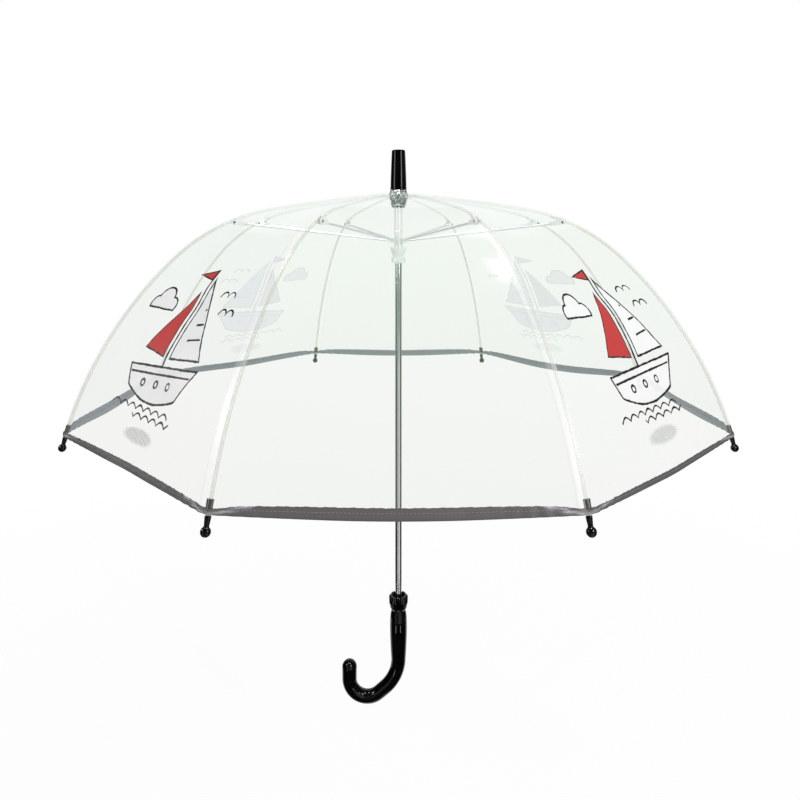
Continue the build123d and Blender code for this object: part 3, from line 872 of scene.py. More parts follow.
def film_point(s, share_across, k, depth=0.0):
    """Rib k's film, s along it and -1 to 1 across it from mid-gore to mid-gore.

    Gives the points, then, on the flat film, the distance from the middle of the gore, the height
    over the hem and the distance from the rod.
    """
    c = settings("canopy")
    s, across = np.broadcast_arrays(np.asarray(s, float), np.asarray(share_across, float))
    open_span = (1 - np.cos(pi * np.abs(across))) / 2
    total = canopy_length()
    low = np.clip((s / total - 0.5) * 2, 0, 1)
    bow = by_gore(across, k, lambda gore: c.hem_bow * uneven_hem(gore)[0])
    s_bowed = s + bow * np.sin(pi / 2 * np.abs(across)) ** 1.2 * low ** 3
    x, z, slope = canopy_line(s_bowed)
    half = x * GORE_TAN / (1 + GORE_TAN ** 2)
    for _ in range(12):  # where the rounded ridge meets the middle of the gore
        half = GORE_TAN * (x - GORE_TAN * (np.hypot(half, c.ridge) - c.ridge))
    y = across * half
    lean = GORE_TAN * y / np.hypot(y, c.ridge)
    radial = x - GORE_TAN * (np.hypot(y, c.ridge) - c.ridge)
    normal = np.stack([np.sin(slope), lean * np.sin(slope), np.cos(slope)], -1)
    normal /= np.linalg.norm(normal, axis=-1, keepdims=True)
    v = gore_height(s_bowed)
    u = (np.abs(y) - half) / cos(PITCH / 2)
    span = open_span * np.clip(s / TAUT, 0, 1) ** 2
    inward = c.sag * span
    for side, gore in ((1, k), (-1, k - 1)):
        slack = sum(deep * np.sin(v * up + phase) * np.cos(u * along)
                    for (deep, up, along), phase in zip(SLACK, gore_waves(gore)))
        inward = inward + np.where(across * side > 0, slack * MM * span, 0)
    rim = np.exp(-((total - s) / GATHER_UP) ** 2) * np.exp(-(y / GATHER_ACROSS) ** 2)
    inward = inward + GATHER_DEPTH * np.sin(np.abs(y) * tau / GATHER_PITCH) * rim
    points = np.stack([radial, y, z], -1) - normal * (inward + depth)[..., None]
    turned = azimuth(k)
    spin = np.array([[cos(turned), sin(turned), 0], [-sin(turned), cos(turned), 0], [0, 0, 1]])
    return points @ spin, np.sign(across) * u, v, np.abs(y) / cos(PITCH / 2)


def mesh_values(items, name, kind, width=1):
    """One row of a mesh's own values for each of its points, corners or faces."""
    values = np.zeros(len(items) * width, kind)
    items.foreach_get(name, values)
    return values.reshape(-1, width) if width > 1 else values


def flat_map(mesh, u, v):
    """Stores the flat coordinates of the faces' corners, in metres, as the mesh's UV map."""
    mesh.uv_layers.new(name="flat").data.foreach_set("uv", np.stack([u, v], -1).ravel())


def point_values(mesh, name, values):
    """Stores a value for each point, for the materials to read."""
    made = mesh.attributes.new(name, "FLOAT", "POINT")
    made.data.foreach_set("value", np.asarray(values, np.float32).ravel())


def columns(sides):
    """Places across a rib's film, closer together over the rod."""
    t = np.linspace(-1, 1, 2 * sides + 1)
    return np.sign(t) * np.abs(t) ** 1.5


def film_piece(name, k, start, end, rows, sides=26):
    """One stretch of rib k's film, as a single curved sheet."""
    s = np.linspace(start, end, rows)[:, None]
    across = columns(sides)[None, :]
    points, u, v, rod = film_point(s, across, k)
    cols = across.shape[1]
    mesh = net(points.reshape(-1, 3), [f[::-1] for f in grid_faces(rows, cols)])
    corner = mesh_values(mesh.loops, "vertex_index", int)
    right = np.array([(across[0] > 0)[[i % cols for i in p.vertices]].any() for p in mesh.polygons])
    side = np.where(np.repeat(right, mesh_values(mesh.polygons, "loop_total", int)), -1, 1)
    on_rod = np.abs(across) < 1e-9
    u = np.abs(np.where(on_rod, film_point(s, across + 1e-6, k)[1], u))
    flat_map(mesh, u.ravel()[corner] * side, v.ravel()[corner])
    point_values(mesh, "seam", rod * np.sign(across))
    finishes = ["printed_film", "plain_film"]
    made = piece(name, mesh, finishes if k % 2 else finishes[::-1])
    mesh.polygons.foreach_set("material_index", np.where(right, 0, 1).astype(np.int32))
    return made


def declare_film(made, k):
    """Reads the points and flat heights of a piece, and keeps nothing."""
    mesh, (_, across) = made.data, outwards(k)
    points = mesh_values(mesh.vertices, "co", float, 3)
    heights = mesh_values(mesh.uv_layers["flat"].data, "uv", float, 2)[:, 1]


# ---------- operators ----------
FILM_ROWS = (8, 48, 76)  # rows of points in the top, the crown and the skirt


class CanopyOperator(bpy.types.Operator):
    """Stretches the clear film over the ribs, one sheet from mid-gore to mid-gore over each rib"""

    bl_idname = "umbrella.canopy"
    bl_label = "Canopy"

    def execute(self, context):
        c, w = settings("canopy"), settings("framework")
        cap, pin, hem = canopy_at(c.top_radius), canopy_at(w.pin_radius), canopy_length()
        top_rows, crown_rows, skirt_rows = FILM_ROWS
        for k in range(1, RIBS + 1):
            out, sideways = outwards(k)
            top = film_piece(f"film_top_{k}", k, 0, cap, top_rows)
            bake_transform(top)
            crown = film_piece(f"film_crown_{k}", k, cap, pin, crown_rows)
            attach(crown, f"rib_arm_{k}")
            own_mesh(crown)
            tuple(sideways)
            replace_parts(crown, f"crown_panel_{k}")
            skirt = film_piece(f"film_skirt_{k}", k, pin, hem, skirt_rows)
            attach(skirt, f"rib_tail_{k}")
            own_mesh(skirt)
            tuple(sideways)
            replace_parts(skirt, f"skirt_panel_{k}")
            for made in (top, crown, skirt):
                declare_film(made, k)
        return {"FINISHED"}


# section of the folded tape: place along the film as a share of the tape's width, depth in leaves,
# inner leaf, edge
TAPE_SECTION = ((0.00, 0.2, 0, 1), (0.04, 0.9, 0, 0.8), (0.25, 1.0, 0, 0), (0.5, 1.1, 0, 0),
                (0.75, 1.1, 0, 0), (0.9, 1.05, 0, 0.3), (1.02, 0.8, 0, 1), (1.05, -0.4, 0.5, 1),
                (1.02, -1.6, 1, 1), (0.9, -1.95, 1, 0.3), (0.5, -2.0, 1, 0), (0.04, -1.9, 1, 0.8),
                (0.0, -1.3, 1, 1))
CORNER_WIDTH = 0.42  # share of the tape's width that is left at a corner
NARROWED, NARROW_REACH = 0.24, 0.050  # share of the width lost near a corner, and how far from it
SEAM_LINE = 0.55  # the stitches' height on the tape, as a share of its width
TAPE_SIDES, TAB_SIDES = 60, 20
TAPE_OVERLAP = 0.0004  # how far the fold reaches past the film's edge
TAB_DEPTH, TAB_FOOT = 0.82, 0.9  # shares of the rod's depth: half the loop, and where it is flat


class HemOperator(bpy.types.Operator):
    """Folds the reflective tape over the hem, stitches it and loops a tab round each rod"""

    bl_idname = "umbrella.hem"
    bl_label = "Hem"

    def execute(self, context):
        h, stitches = settings("hem"), stitch_tree()
        hem, across = canopy_length(), np.linspace(-1, 1, 2 * TAPE_SIDES + 1)
        for k in range(1, RIBS + 1):
            body, (_, sideways) = f"rib_tail_{k}", outwards(k)
            reach = film_point(hem, across, k)[3]
            width = self.width(across, reach, k)
            folded = self.tape(across, reach, width, k)
            tape = piece(f"hem_tape_{k}", folded, "reflective_tape", body)
            sewn = [stitches.run(film_point(hem - width * SEAM_LINE, across, k, depth)[0],
                                 Pitch=h.stitch_pitch, Stitch=h.stitch, Thread=h.thread,
                                 Material=material("stitch_thread"))
                    for depth in (-h.outer * 1.5, h.inner + h.thread * 0.4)]
            seam = piece(f"hem_stitches_{k}", joined(*sewn), "stitch_thread", body)
            loop = self.tab(hem - h.tab_height - h.tab_drop, k)
            # the tab's tape is darkened as painted shade
            tab = piece(f"rod_tab_{k}", loop, "tab_tape", body)
            for made in (tape, seam):
                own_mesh(made)
                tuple(sideways)
        return {"FINISHED"}

    def width(self, across, reach, k):
        """Width of the tape, narrower towards each corner and uneven from gore to gore."""
        h = settings("hem")
        narrow = by_gore(across, k, lambda gore: uneven_hem(gore)[1])
        open_width = narrow * (1 - NARROWED * np.exp(-(reach / NARROW_REACH) ** 2))
        opened = 1 - np.exp(-(reach / h.taper) ** 2)
        return h.width * (CORNER_WIDTH + (open_width - CORNER_WIDTH) * opened)

    def tape(self, across, reach, width, k):
        """The folded tape of rib k, puffed where it is gathered at the corner, with a painted
        highlight along the folds that run out of it.
        """
        h, hem = settings("hem"), canopy_length()
        pinch = np.exp(-(reach / h.pinch) ** 2)
        cut = 0.00018 * np.sin(reach * 900 + k) + 0.00012 * np.sin(reach * 2300)  # uneven edge
        top = hem - width + cut
        rows, painted_light = [], []
        for down, leaves, inner, _ in TAPE_SECTION:
            leaf = h.outer * leaves if leaves > 0 else h.inner * leaves / 2
            puff = 1 + 1.8 * pinch * (np.sin(reach * 900 + down * 5 + k) * 0.5 + 0.6)
            s = top + (hem + TAPE_OVERLAP - top) * down
            rows.append(film_point(s, across, k, -leaf * puff))
            # painted highlight along the fold that runs out of each corner
            crease = np.exp(-((down - 0.9 + reach / h.fold) / 0.20) ** 2)
            painted_light.append(crease * (reach < h.fold) * (inner < 1))
        n, cols = len(rows), len(across)
        last = (n - 1) * cols
        faces = grid_faces(n, cols) + [(last + j, last + j + 1, j + 1, j) for j in range(cols - 1)]
        ends = [tuple(range(0, n * cols, cols)), tuple(range(cols - 1, n * cols, cols))[::-1]]
        points = np.stack([row[0] for row in rows]).reshape(-1, 3)
        mesh = outward(net(points, [f[::-1] for f in faces] + ends, crease=50))
        corner = mesh_values(mesh.loops, "vertex_index", int)
        flat_map(mesh, np.tile(across * reach.max(), n)[corner],
                 np.stack([row[2] for row in rows]).ravel()[corner])
        for name, column in (("inside", 2), ("edge", 3)):
            point_values(mesh, name, np.repeat([place[column] for place in TAPE_SECTION], cols))
        # the painted fold highlight, stored as the attribute gathered
        point_values(mesh, "gathered", np.stack(painted_light))
        return mesh

    def tab(self, start, k):
        """A loop of tape from the film round the rod, open at both ends."""
        h, w = settings("hem"), settings("framework")
        stops = np.linspace(start, start + h.tab_height, 9)
        rings = []
        for grow, places in ((1.0, stops), (0.86, stops[::-1])):
            for s in places:
                x, z, slope = canopy_line(s, w.rod_depth - 0.0004)
                flare = grow * (1 + 0.10 * (1 - (s - start) / h.tab_height) ** 2)
                ring = []
                for a in (tau * j / TAB_SIDES for j in range(TAB_SIDES)):
                    y = h.tab_width / 2 * flare * cos(a)
                    d = max(w.rod_depth * TAB_DEPTH * grow * sin(a), -w.rod_depth * TAB_FOOT)
                    ring.append((x + d * sin(slope), y, z + d * cos(slope)))
                rings.append(ring)
        mesh = skin(rings, crease=60)
        last = (len(rings) - 1) * TAB_SIDES
        rim = [(last + j, last + (j + 1) % TAB_SIDES, (j + 1) % TAB_SIDES, j)
               for j in range(TAB_SIDES)]
        points, faces = [v.co[:] for v in mesh.vertices], [tuple(p.vertices) for p in mesh.polygons]
        return turned_to(k, outward(net(points, faces + rim, crease=60)))


# a rod's root in the notch: outwards and up from its hinge wire
ROD_ROOT = ((0, 0), (0.0004, 0.0035), (0.0018, 0.0072), (0.0048, 0.0100))
ROD_START = 0.010  # along the film, where the rod meets its line under the film
ROD_IN_BALL = 0.004  # from the rod's end to the middle of its ball
ROD_BEND = (-0.003, 0.027)  # a stretch of the rod, along it from its rivet
# moulded block on a rod: place along the rod from its rivet, radius
JOINT_BLOCK = ((-0.0135, 0.0015), (-0.0134, 0.0019), (-0.0128, 0.0021), (-0.0030, 0.00215),
               (-0.0022, 0.0020), (-0.0020, 0.0015))
JOINT_LUG = -0.0065  # place of the lug on the block
# ball tip: radius and height of its mouth, then of its waist from the middle of the ball
TIP_MOUTH = ((0.0, 0.0), (0.0020, 0.0), (0.00245, 0.0003), (0.0026, 0.001), (0.00245, 0.0020))
TIP_WAIST = ((0.0022, -0.0062), (0.0020, -0.0046), (0.0021, -0.0038))
TIP_START, TIP_NECK = 0.0012, 0.0022  # from the hem to the mouth; radius where the ball begins


class RibsOperator(bpy.types.Operator):
    """Bends the glass-fibre rods under the film and moulds their joint blocks and ball tips"""

    bl_idname = "umbrella.ribs"
    bl_label = "Ribs"

    def execute(self, context):
        w, wire = settings("framework"), wire_tree()
        hem, pin = canopy_length(), canopy_at(w.pin_radius)
        # first and last place along the rod and number of points
        runs = ((ROD_START, pin - 0.006, 40), (pin - 0.004, pin + 0.03, 18),
                (pin + 0.036, hem + w.ball_reach - ROD_IN_BALL, 46))
        x, z, _ = canopy_line(np.concatenate([np.linspace(*run) for run in runs]), w.rod_depth)
        root = [(w.ring + out, 0, w.notch_height + up) for out, up in ROD_ROOT]
        rod = wire.run(root + list(zip(x, 0 * x, z)), Radius=w.rod, Sides=w.sides,
                       Material=material("glass_fibre"))
        rod.set_sharp_from_angle(angle=radians(40))
        rods = round_the_shaft("rib_rod", rod, "glass_fibre", None)
        for k, made in enumerate(rods, 1):
            for along in ROD_BEND:
                a, b, _ = canopy_line(pin + along, w.rod_depth)
                outwards(k)[0] * float(a) + Vector((0, 0, float(b)))
            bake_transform(made)
            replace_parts(made, f"rib_{k}", f"rib_end_{k}")
        self.joints(pin)
        self.tips(hem)
        return {"FINISHED"}

    def joints(self, pin):
        """Milky blocks on the rods, each with a lug down to its rivet."""
        w = settings("framework")
        rings = []
        for along, radius in JOINT_BLOCK:
            x, z, slope = canopy_line(pin + along, w.rod_depth)
            rings.append([(x + radius * sin(a) * sin(slope), radius * cos(a),
                           z + radius * sin(a) * cos(slope))
                          for a in np.linspace(0, tau, 24, endpoint=False)])
        caps = [[np.mean(ring, axis=0)] for ring in (rings[0], rings[-1])]
        sleeve = outward(skin(caps[:1] + rings + caps[1:], crease=40))
        x, z, _ = canopy_line(pin + JOINT_LUG, w.rod_depth)
        lug = hull((w.pin_radius, w.pin_height), 0.0025, (float(x), float(z)), w.sleeve)
        cheeks = [plate(lug, *span) for span in ((-0.0023, -0.0012), (0.0012, 0.0023))]
        round_the_shaft("rib_joint", joined(sleeve, *cheeks), "milky_plastic", "rib_arm")

    def tips(self, hem):
        """Black ball tips with a waisted stem and a rim at its mouth."""
        w = settings("framework")
        reach, ball = w.ball_reach, w.ball
        profile = [(radius, TIP_START + up) for radius, up in TIP_MOUTH]
        profile += [(radius, reach + up) for radius, up in TIP_WAIST]
        low = pi - np.arcsin(TIP_NECK / ball)
        profile += [(ball * sin(a), reach + ball * cos(a)) for a in np.linspace(low, 0, 16)[:-1]]
        tip = lathe(profile + [(0.0, reach + ball)], 32, crease=50)
        x, z, slope = canopy_line(hem, w.rod_depth)
        tip.transform(Matrix.Translation((x, 0, z))
                      @ Matrix.Rotation(pi / 2 + float(slope), 4, "Y"))
        round_the_shaft("tip_cap", tip, "gloss_black", "rib_tail", "tip")


FORK_REACH = 0.00925  # from the rivet to the fork's web
EYE_REACH = 0.0045  # from the runner's ring to the end of the round wire
FORK_SLEEVE = ((0, 0), (0.00215, 0), (0.0021, 0.0060), (0.0016, 0.0068), (0, 0.0068))
# half a rivet, from its middle to its head: radius, place along its axis
RIVET = ((0.0010, 0.0035), (0.0014, 0.0036), (0.0013, 0.0038), (0.0008, 0.00405), (0, 0.0041))


class StretchersOperator(bpy.types.Operator):
    """Makes the steel stretchers with their white forks and dark rivets"""

    bl_idname = "umbrella.stretchers"
    bl_label = "Stretchers"

    def execute(self, context):
        w, wire = settings("framework"), wire_tree()
        pin = Vector((w.pin_radius, w.pin_height))
        # the runner's ring lies as far under the rivets as the notch's lies over them
        ring = Vector((w.ring, 2 * w.pin_height - w.notch_height))
        heading = (ring - pin).normalized()
        web, eye = pin + heading * FORK_REACH, ring - heading * EYE_REACH
        spots = [web.lerp(eye, t) for t in np.linspace(0, 1, 24)]
        rod = wire.run([(p.x, 0, p.y) for p in spots], Radius=w.stretcher, Sides=w.sides,
                       Material=material("steel_wire"))
        link = plate(hull(tuple(ring), 0.0020, tuple(eye - heading * 0.001), w.stretcher),
                     -0.0008, 0.0008)
        round_the_shaft("stretcher_wire", joined(rod, link), "steel_wire", "stretcher_arm",
                        "stretcher")
        self.forks(pin, web, heading)
        rivet = lathe([(radius, -along) for radius, along in RIVET[::-1]] + list(RIVET), 20)
        rivet.transform(Matrix.Translation((pin.x, 0, pin.y)) @ Matrix.Rotation(pi / 2, 4, "X"))
        round_the_shaft("stretcher_rivet", rivet, "dark_rivet", "stretcher_arm")
        return {"FINISHED"}

    def forks(self, pin, web, heading):
        """White forks: two cheeks, the web between them and the sleeve on the wire."""
        cheek = hull(tuple(pin), 0.0024, tuple(web), 0.0025)
        cheeks = [plate(cheek, *span, soft=0.0002)
                  for span in ((-0.0036, -0.0026), (0.0026, 0.0036))]
        near, far = tuple(web - heading * 0.0004), tuple(web + heading * 0.0006)
        bar = plate(hull(near, 0.0023, far, 0.0022), -0.0034, 0.0034)
        sleeve = lathe(rounded(FORK_SLEEVE, 0.0004), 24)
        tilt = atan2(heading.y, heading.x)
        sleeve.transform(Matrix.Translation((web.x, 0, web.y))
                         @ Matrix.Rotation(pi / 2 - tilt, 4, "Y"))
        round_the_shaft("stretcher_fork", joined(*cheeks, bar, sleeve), "milky_plastic",
                        "stretcher_arm")


# ferrule: radius and height of its foot, then of its top end from the top
FERRULE_FOOT = ((0, 0), (0.0097, 0), (0.0100, 0.0004), (0.0100, 0.0022), (0.0098, 0.0027))
FERRULE_TOP = ((0.0083, -0.0017), (0.0081, -0.0009), (0.0075, -0.0003), (0.0064, 0),
               (0.0050, -0.0001), (0.0046, -0.0005), (0, -0.0006))
NOTCH_RIM, NOTCH_FOOT = 0.0066, 0.0045  # the notch's foil is crushed outside and under these
COLLAR_RADIUS, COLLAR_LENGTH = 0.0096, 0.0178
FOIL = 0.93  # inner leaf of the collar, as a share of its radius


class HubOperator(bpy.types.Operator):
    """Turns the ferrule and crumples the foil collar over the notch"""

    bl_idname = "umbrella.hub"
    bl_label = "Hub"

    def execute(self, context):
        base, top = (corner.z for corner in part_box("ferrule"))
        profile = [(radius, base + up) for radius, up in FERRULE_FOOT]
        profile += [(0.0098 - 0.0015 * t ** 1.3, base + 0.0027 + (top - base - 0.0048) * t)
                    for t in np.linspace(0.1, 1, 8)]
        profile += [(radius, top + up) for radius, up in FERRULE_TOP]
        ferrule = piece("ferrule_cap", lathe(profile, 64, 25), "gloss_black", "frame")
        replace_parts(ferrule, "ferrule")
        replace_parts(self.collar(base), "crown_washer")
        self.notch()
        smooth_copy("notch_wire", "steel_wire")
        smooth_copy("top_spacer", "milky_plastic")
        return {"FINISHED"}

    def notch(self):
        """The notch under crushed foil, drawn in round its foot."""
        notch = smooth_copy("top_notch", "crumpled_foil")
        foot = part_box("top_notch")[0].z
        for point in notch.data.vertices:
            if point.co.xy.length > NOTCH_RIM and point.co.z < foot + NOTCH_FOOT:
                turned = atan2(point.co.y, point.co.x)
                point.co.xy *= 0.80 + 0.06 * sin(5 * turned) + 0.05 * sin(13 * turned + 1)
                point.co.z += 0.0008 + 0.0007 * sin(8 * turned + 2)

    def collar(self, top):
        """Foil bound round the hub, gathered under the ferrule and ragged at its foot."""
        rng = np.random.default_rng(7)
        sides, rows = 96, 26
        a = np.linspace(0, tau, sides, endpoint=False)
        folds = sum(amount * np.sin(n * a + rng.uniform(0, tau))
                    for n, amount in ((7, 0.4), (13, 0.5), (21, 0.35)))
        rings = []
        for t in (i / (rows - 1) for i in range(rows)):
            ragged = 0.0022 * np.sin(5 * a + 1) + 0.0016 * np.sin(14 * a)
            z = top - 0.0004 - t * (COLLAR_LENGTH + ragged * t)
            belly = COLLAR_RADIUS + 0.0012 * sin(pi * min(t / 0.75, 1))
            belly -= 0.0095 * max(t - 0.55, 0) ** 1.2
            ruck = 0.00055 * sin(pi * min(t * 1.3, 1)) * folds
            ruck = ruck + 0.00045 * sin(pi * t) * np.sin(11 * a + 16 * t + 2 * np.sin(3 * a))
            ruck = ruck + rng.normal(0, 0.00028, sides)
            radius = belly + ruck
            rings.append(list(zip(radius * np.cos(a), radius * np.sin(a), z)))
        inner = [[(x * FOIL, y * FOIL, z) for x, y, z in ring] for ring in rings[::-1]]
        mesh = skin([[(0, 0, top - 0.0003)]] + rings + inner + [[(0, 0, top - 0.0012)]], crease=14)
        return piece("hub_foil", outward(mesh), "crumpled_foil", "frame")


class RunnerOperator(bpy.types.Operator):
    """Dresses the sliding runner, its wire, the shaft and both catches"""

    bl_idname = "umbrella.runner"
    bl_label = "Runner and shaft"

    def execute(self, context):
        smooth_copy("runner", "milky_plastic", "runner_sleeve")
        smooth_copy("runner_wire", "steel_wire", "runner_sleeve")
        smooth_copy("shaft", "plated_tube")
        smooth_copy("top_catch", "steel_wire", "top_catch_leaf")
        smooth_copy("bottom_catch", "steel_wire", "bottom_catch_leaf")
        return {"FINISHED"}


CROOK_SHARES = (0, 0.2, 0.45, 0.62, 0.85, 1.0)  # of its length, where the crook's radius is given
CUP_RIM = 0.0085  # the cup's outer wall is slimmed from here


class HandleOperator(bpy.types.Operator):
    """Sweeps the crook handle in one piece and rings it with the cup for the ball tips"""

    bl_idname = "umbrella.handle"
    bl_label = "Handle"

    def execute(self, context):
        h = settings("handle")
        spots = self.path()
        rings = [[(spots[0][0], 0, spots[0][1] + 0.0001)]]
        for x, z, heading, radius in spots:
            rings.append([(x + radius * cos(t) * -sin(heading), radius * sin(t),
                           z + radius * cos(t) * cos(heading))
                          for t in np.linspace(0, tau, h.sides, endpoint=False)])
        x, z, heading, _ = spots[-1]
        rings.append([(x + 0.00001 * cos(heading), 0, z + 0.00001 * sin(heading))])
        grip = piece("crook_handle", outward(skin(rings, crease=40)), "gloss_black", "frame")
        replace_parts(grip, "handle")
        self.cup()
        return {"FINISHED"}

    def grip(self, base):
        """Centre line of the straight grip down to a height: x, z, heading and radius."""
        h = settings("handle")
        spots = [(0, h.top + 0.0052, -pi / 2, h.top_radius - 0.0016),
                 (0, h.top + 0.0046, -pi / 2, h.top_radius)]
        for t in np.linspace(0, 1, 40):
            ease = sin(pi * t ** 0.66) ** 0.9 if 0 < t < 1 else 0
            plain = h.top_radius + (h.bend_radius - h.top_radius) * t
            swell = (h.swell_radius - (h.top_radius + h.bend_radius) / 2) * ease
            spots.append((0, h.top - (h.top - base) * t, -pi / 2, plain + swell))
        return spots

    def thick(self, gone):
        """Radius of the crook a distance below the grip."""
        h = settings("handle")
        whole = h.bend * h.bend_turn + h.straight + h.curl * (pi - h.bend_turn) + h.end
        radii = (h.bend_radius, h.bend_radius - 0.0003, h.hook_radius + 0.0001, h.hook_radius,
                 h.end_radius - 0.0002, h.end_radius)
        return float(np.interp(gone / whole, CROOK_SHARES, radii))

    def path(self):
        """Centre line from the grip's top round the crook: x, z, heading and radius."""
        h = settings("handle")
        z = (h.hook_radius + h.curl * (1 - sin(h.bend_turn)) + h.straight * cos(h.bend_turn)
             + h.bend * sin(h.bend_turn))
        x, heading, gone, spots = 0, -pi / 2, 0, self.grip(z)
        for radius, turned, length, steps in (
                (h.bend, h.bend_turn, 0, 24), (0, 0, h.straight, 6),
                (h.curl, pi - h.bend_turn, 0, 56), (0, 0, h.end, 5)):
            centre = x + radius * sin(heading), z - radius * cos(heading)
            for i in range(1, steps + 1):
                if turned:
                    now, along = heading - turned * i / steps, radius * turned * i / steps
                    spot = centre[0] - radius * sin(now), centre[1] + radius * cos(now)
                else:
                    now, along = heading, length * i / steps
                    spot = x + along * cos(now), z + along * sin(now)
                spots.append((*spot, now, self.thick(gone + along)))
            x, z = spot
            heading, gone = heading - turned, gone + length + radius * turned
        radius = h.end_radius
        for t in (pi / 2 * i / 14 for i in range(1, 14)):
            spots.append((x + radius * sin(t) * cos(heading), z + radius * sin(t) * sin(heading),
                          heading, radius * cos(t)))
        return spots

    def cup(self):
        """Eight open sockets for the ball tips, round a collar on the grip."""
        cup, top = smooth_copy("tip_cup", "gloss_black"), settings("handle").top
        for point in cup.data.vertices:
            if point.co.xy.length > CUP_RIM:
                point.co.xy *= 1 - 0.12 * np.exp(-((point.co.z - top - 0.0045) / 0.0042) ** 2)
            if point.co.z < top + 0.001:
                point.co.xy *= 0.88


# lamps: name, place, what they are aimed at, width, height, power
LAMPS = (("key_lamp", (-1.25, -1.55, 1.45), (0, 0, 0.40), 0.07, 0.9, 4),
         ("fill_lamp", (1.35, -1.45, 1.15), (0, 0, 0.35), 0.05, 0.9, 10),
         ("top_lamp", (0.3, 0.3, 2.1), (0, 0, 0.5), 0.4, 0.25, 7))
# sections of the cards: radius and height of each edge
UPRIGHT = ((0.75, 1.1), (0.75, -0.15), (0.57, -0.15))
BAND, TALL_BAND = ((0.70, 0.64), (0.70, 0.52)), ((0.70, 0.92), (0.70, 0.67))
GLINT, OVERHEAD = ((0.50, -0.14), (0.40, -0.14)), ((0.42, 1.09), (0.30, 1.09))
# cards: name, first and last direction in degrees, tone (over 1 it glows), section
CARDS = (("card_left", 132, 226, 0.02, UPRIGHT), ("card_front", 236, 272, 0.28, UPRIGHT),
         ("card_right", -18, 42, 0.13, UPRIGHT),
         ("card_foot", 165, 378, 0.03, ((0.57, -0.15), (0.06, -0.15))),
         ("card_middle", 272, 342, 0.28, ((0.75, 0.60), (0.75, 0.33))),
         ("card_upper", 226, 342, 0.05, ((0.75, 1.1), (0.75, 0.60))),
         ("card_low", 312, 342, 0.10, ((0.75, 0.33), (0.75, -0.15), (0.57, -0.15))),
         ("card_above", 0, 360, 0.04, ((0.75, 1.1), (0.02, 1.1))),
         ("glow_left", 198, 214, 24, BAND), ("glow_right", 292, 308, 24, BAND),
         ("glow_left_tall", 200, 216, 4.5, TALL_BAND),
         ("glow_right_tall", 308, 324, 5.5, TALL_BAND),
         ("glow_above_left", 200, 222, 45, OVERHEAD),
         ("glow_above_right", 290, 312, 45, OVERHEAD),
         ("glint_left", 233, 239, 8, GLINT), ("glint_right", 294, 300, 8, GLINT))
CAMERA_SHIFT = (0.0019, -0.2125)


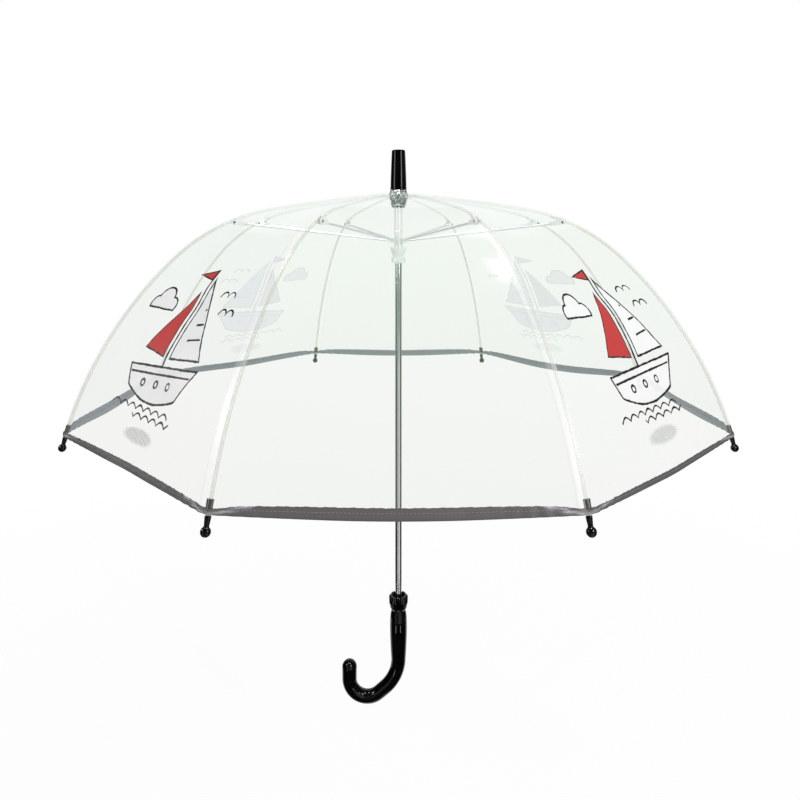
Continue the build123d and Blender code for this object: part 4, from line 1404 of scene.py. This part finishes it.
class StageOperator(bpy.types.Operator):
    """Sets the level camera, the lamps, the pale floor, the white surroundings and the cards"""

    bl_idname = "umbrella.stage"
    bl_label = "Stage"

    def execute(self, context):
        g = settings("stage")
        self.world(g)
        self.floor(g)
        for lamp in LAMPS:
            self.lamp(*lamp)
        for card in CARDS:
            self.card(*card)
        camera = placed("camera", bpy.data.cameras.new("camera"))
        camera.data.lens, camera.data.sensor_width = g.lens, 36
        camera.data.shift_x, camera.data.shift_y = CAMERA_SHIFT
        camera.data.clip_start, camera.data.clip_end = 0.01, 60
        camera.location = (0, -g.distance, g.eye)
        camera.rotation_euler = (pi / 2, 0, 0)
        bpy.context.scene.camera = camera
        bpy.context.scene.view_settings.view_transform = "Standard"
        return {"FINISHED"}

    def seen(self, tree):
        """1 for the rays of camera, gloss and clear pieces, 0 for light."""
        path = tree.nodes.new("ShaderNodeLightPath")
        out = path.outputs["Is Camera Ray"]
        for name in ("Is Glossy Ray", "Is Transmission Ray"):
            either = tree.nodes.new("ShaderNodeMath")
            either.operation = "MAXIMUM"
            tree.links.new(out, either.inputs[0])
            tree.links.new(path.outputs[name], either.inputs[1])
            out = either.outputs[0]
        return out

    def world(self, g):
        """White wherever it is seen, and softer as light."""
        world = bpy.data.worlds.new("white_surroundings")
        bpy.context.scene.world = world
        world.use_nodes = True
        tree = world.node_tree
        strength = tree.nodes.new("ShaderNodeMapRange")
        tree.links.new(self.seen(tree), strength.inputs["Value"])
        strength.inputs["To Min"].default_value = g.ambient
        strength.inputs["To Max"].default_value = 1.0
        tree.links.new(strength.outputs[0], tree.nodes["Background"].inputs["Strength"])
        tree.nodes["Background"].inputs["Color"].default_value = (1, 1, 1, 1)

    def floor(self, g):
        """A pale floor that keeps a soft shadow and fades into the white surroundings."""
        half, z = 1.6, -g.floor_drop
        corners = [(-half, -half, z), (half, -half, z), (half, half, z), (-half, half, z)]
        mesh = net(corners, [(0, 1, 2, 3)])
        f = Finish("pale_floor", Specular_IOR_Level=0.0, Roughness=0.9)
        away = f.node("ShaderNodeVectorMath", {"operation": "LENGTH"}, {0: f.place()}, "Value")
        fade = f.math("MULTIPLY_ADD", away, -1.0, 1.5, clamp=True)
        seen = Term(f, self.seen(f.tree))
        f.set(Base_Color=f.mix(f.noise(3.0), (0.93, 0.93, 0.93), (0.96, 0.96, 0.96)))
        white = f.tree.nodes.new("ShaderNodeEmission")
        mixed = f.tree.nodes.new("ShaderNodeMixShader")
        clear = f.tree.nodes.new("ShaderNodeMixShader")
        through = f.tree.nodes.new("ShaderNodeBsdfTransparent")
        f.feed(mixed.inputs[0], seen * 0.85)
        f.tree.links.new(f.surface.outputs[0], mixed.inputs[1])
        f.tree.links.new(white.outputs[0], mixed.inputs[2])
        f.feed(clear.inputs[0], fade)
        f.tree.links.new(through.outputs[0], clear.inputs[1])
        f.tree.links.new(mixed.outputs[0], clear.inputs[2])
        f.tree.links.new(clear.outputs[0], f.tree.nodes["Material Output"].inputs["Surface"])
        floor = placed("floor", mesh)
        mesh.materials.append(f.material)

    def lamp(self, name, place, aim, wide, tall, power):
        """An oblong lamp aimed at a point."""
        light = bpy.data.lights.new(name, "AREA")
        light.shape, light.size, light.size_y, light.energy = "RECTANGLE", wide, tall, power
        made = placed(name, light)
        made.location = place
        made.rotation_euler = (Vector(aim) - Vector(place)).to_track_quat("-Z", "Y").to_euler()

    def card(self, name, start, end, tone, section, steps=25):
        """A curved card that only gloss sees, so that tube and crook show bands."""
        f = Finish(name, Roughness=1.0, Base_Color=(min(tone, 0.5),) * 3, Specular_IOR_Level=0.0)
        if tone > 1:
            f.set(Emission_Color=(1, 1, 1), Emission_Strength=tone)
        turns = np.radians(np.linspace(start, end, steps))
        points = [(r * cos(t), r * sin(t), z) for r, z in section for t in turns]
        card = placed(name, net(points, grid_faces(len(section), steps), smooth=False))
        card.data.materials.append(f.material)
        card.visible_camera = card.visible_diffuse = card.visible_shadow = False
        card.visible_transmission = card.visible_volume_scatter = False


class UmbrellaPanel(bpy.types.Panel):
    """Buttons for every step and all sizes and colours, in the sidebar"""

    bl_idname = "VIEW3D_PT_umbrella"
    bl_label = "Umbrella"
    bl_space_type = "VIEW_3D"
    bl_region_type = "UI"
    bl_category = "Umbrella"

    def draw(self, context):
        for operator in OPERATORS:
            self.layout.operator(operator.bl_idname)
        for name, group in GROUPS.items():
            box = self.layout.box()
            box.label(text=name.capitalize())
            for prop in group.__annotations__:
                box.prop(settings(name), prop)


OPERATORS = (RibsOperator, StretchersOperator, CanopyOperator, HemOperator, HubOperator,
             RunnerOperator, HandleOperator, StageOperator)


def register():
    for group in GROUPS.values():
        bpy.utils.register_class(group)
    for name, group in GROUPS.items():
        setattr(bpy.types.Scene, f"umbrella_{name}", PointerProperty(type=group))
    for operator in OPERATORS:
        bpy.utils.register_class(operator)
    bpy.utils.register_class(UmbrellaPanel)


def unregister():
    bpy.utils.unregister_class(UmbrellaPanel)
    for operator in reversed(OPERATORS):
        bpy.utils.unregister_class(operator)
    for name, group in GROUPS.items():
        delattr(bpy.types.Scene, f"umbrella_{name}")
        bpy.utils.unregister_class(group)


def main():
    register()
    bpy.ops.umbrella.ribs()
    bpy.ops.umbrella.stretchers()
    bpy.ops.umbrella.canopy()
    bpy.ops.umbrella.hem()
    bpy.ops.umbrella.hub()
    bpy.ops.umbrella.runner()
    bpy.ops.umbrella.handle()
    bpy.ops.umbrella.stage()


if __name__ == "__main__":
    main()
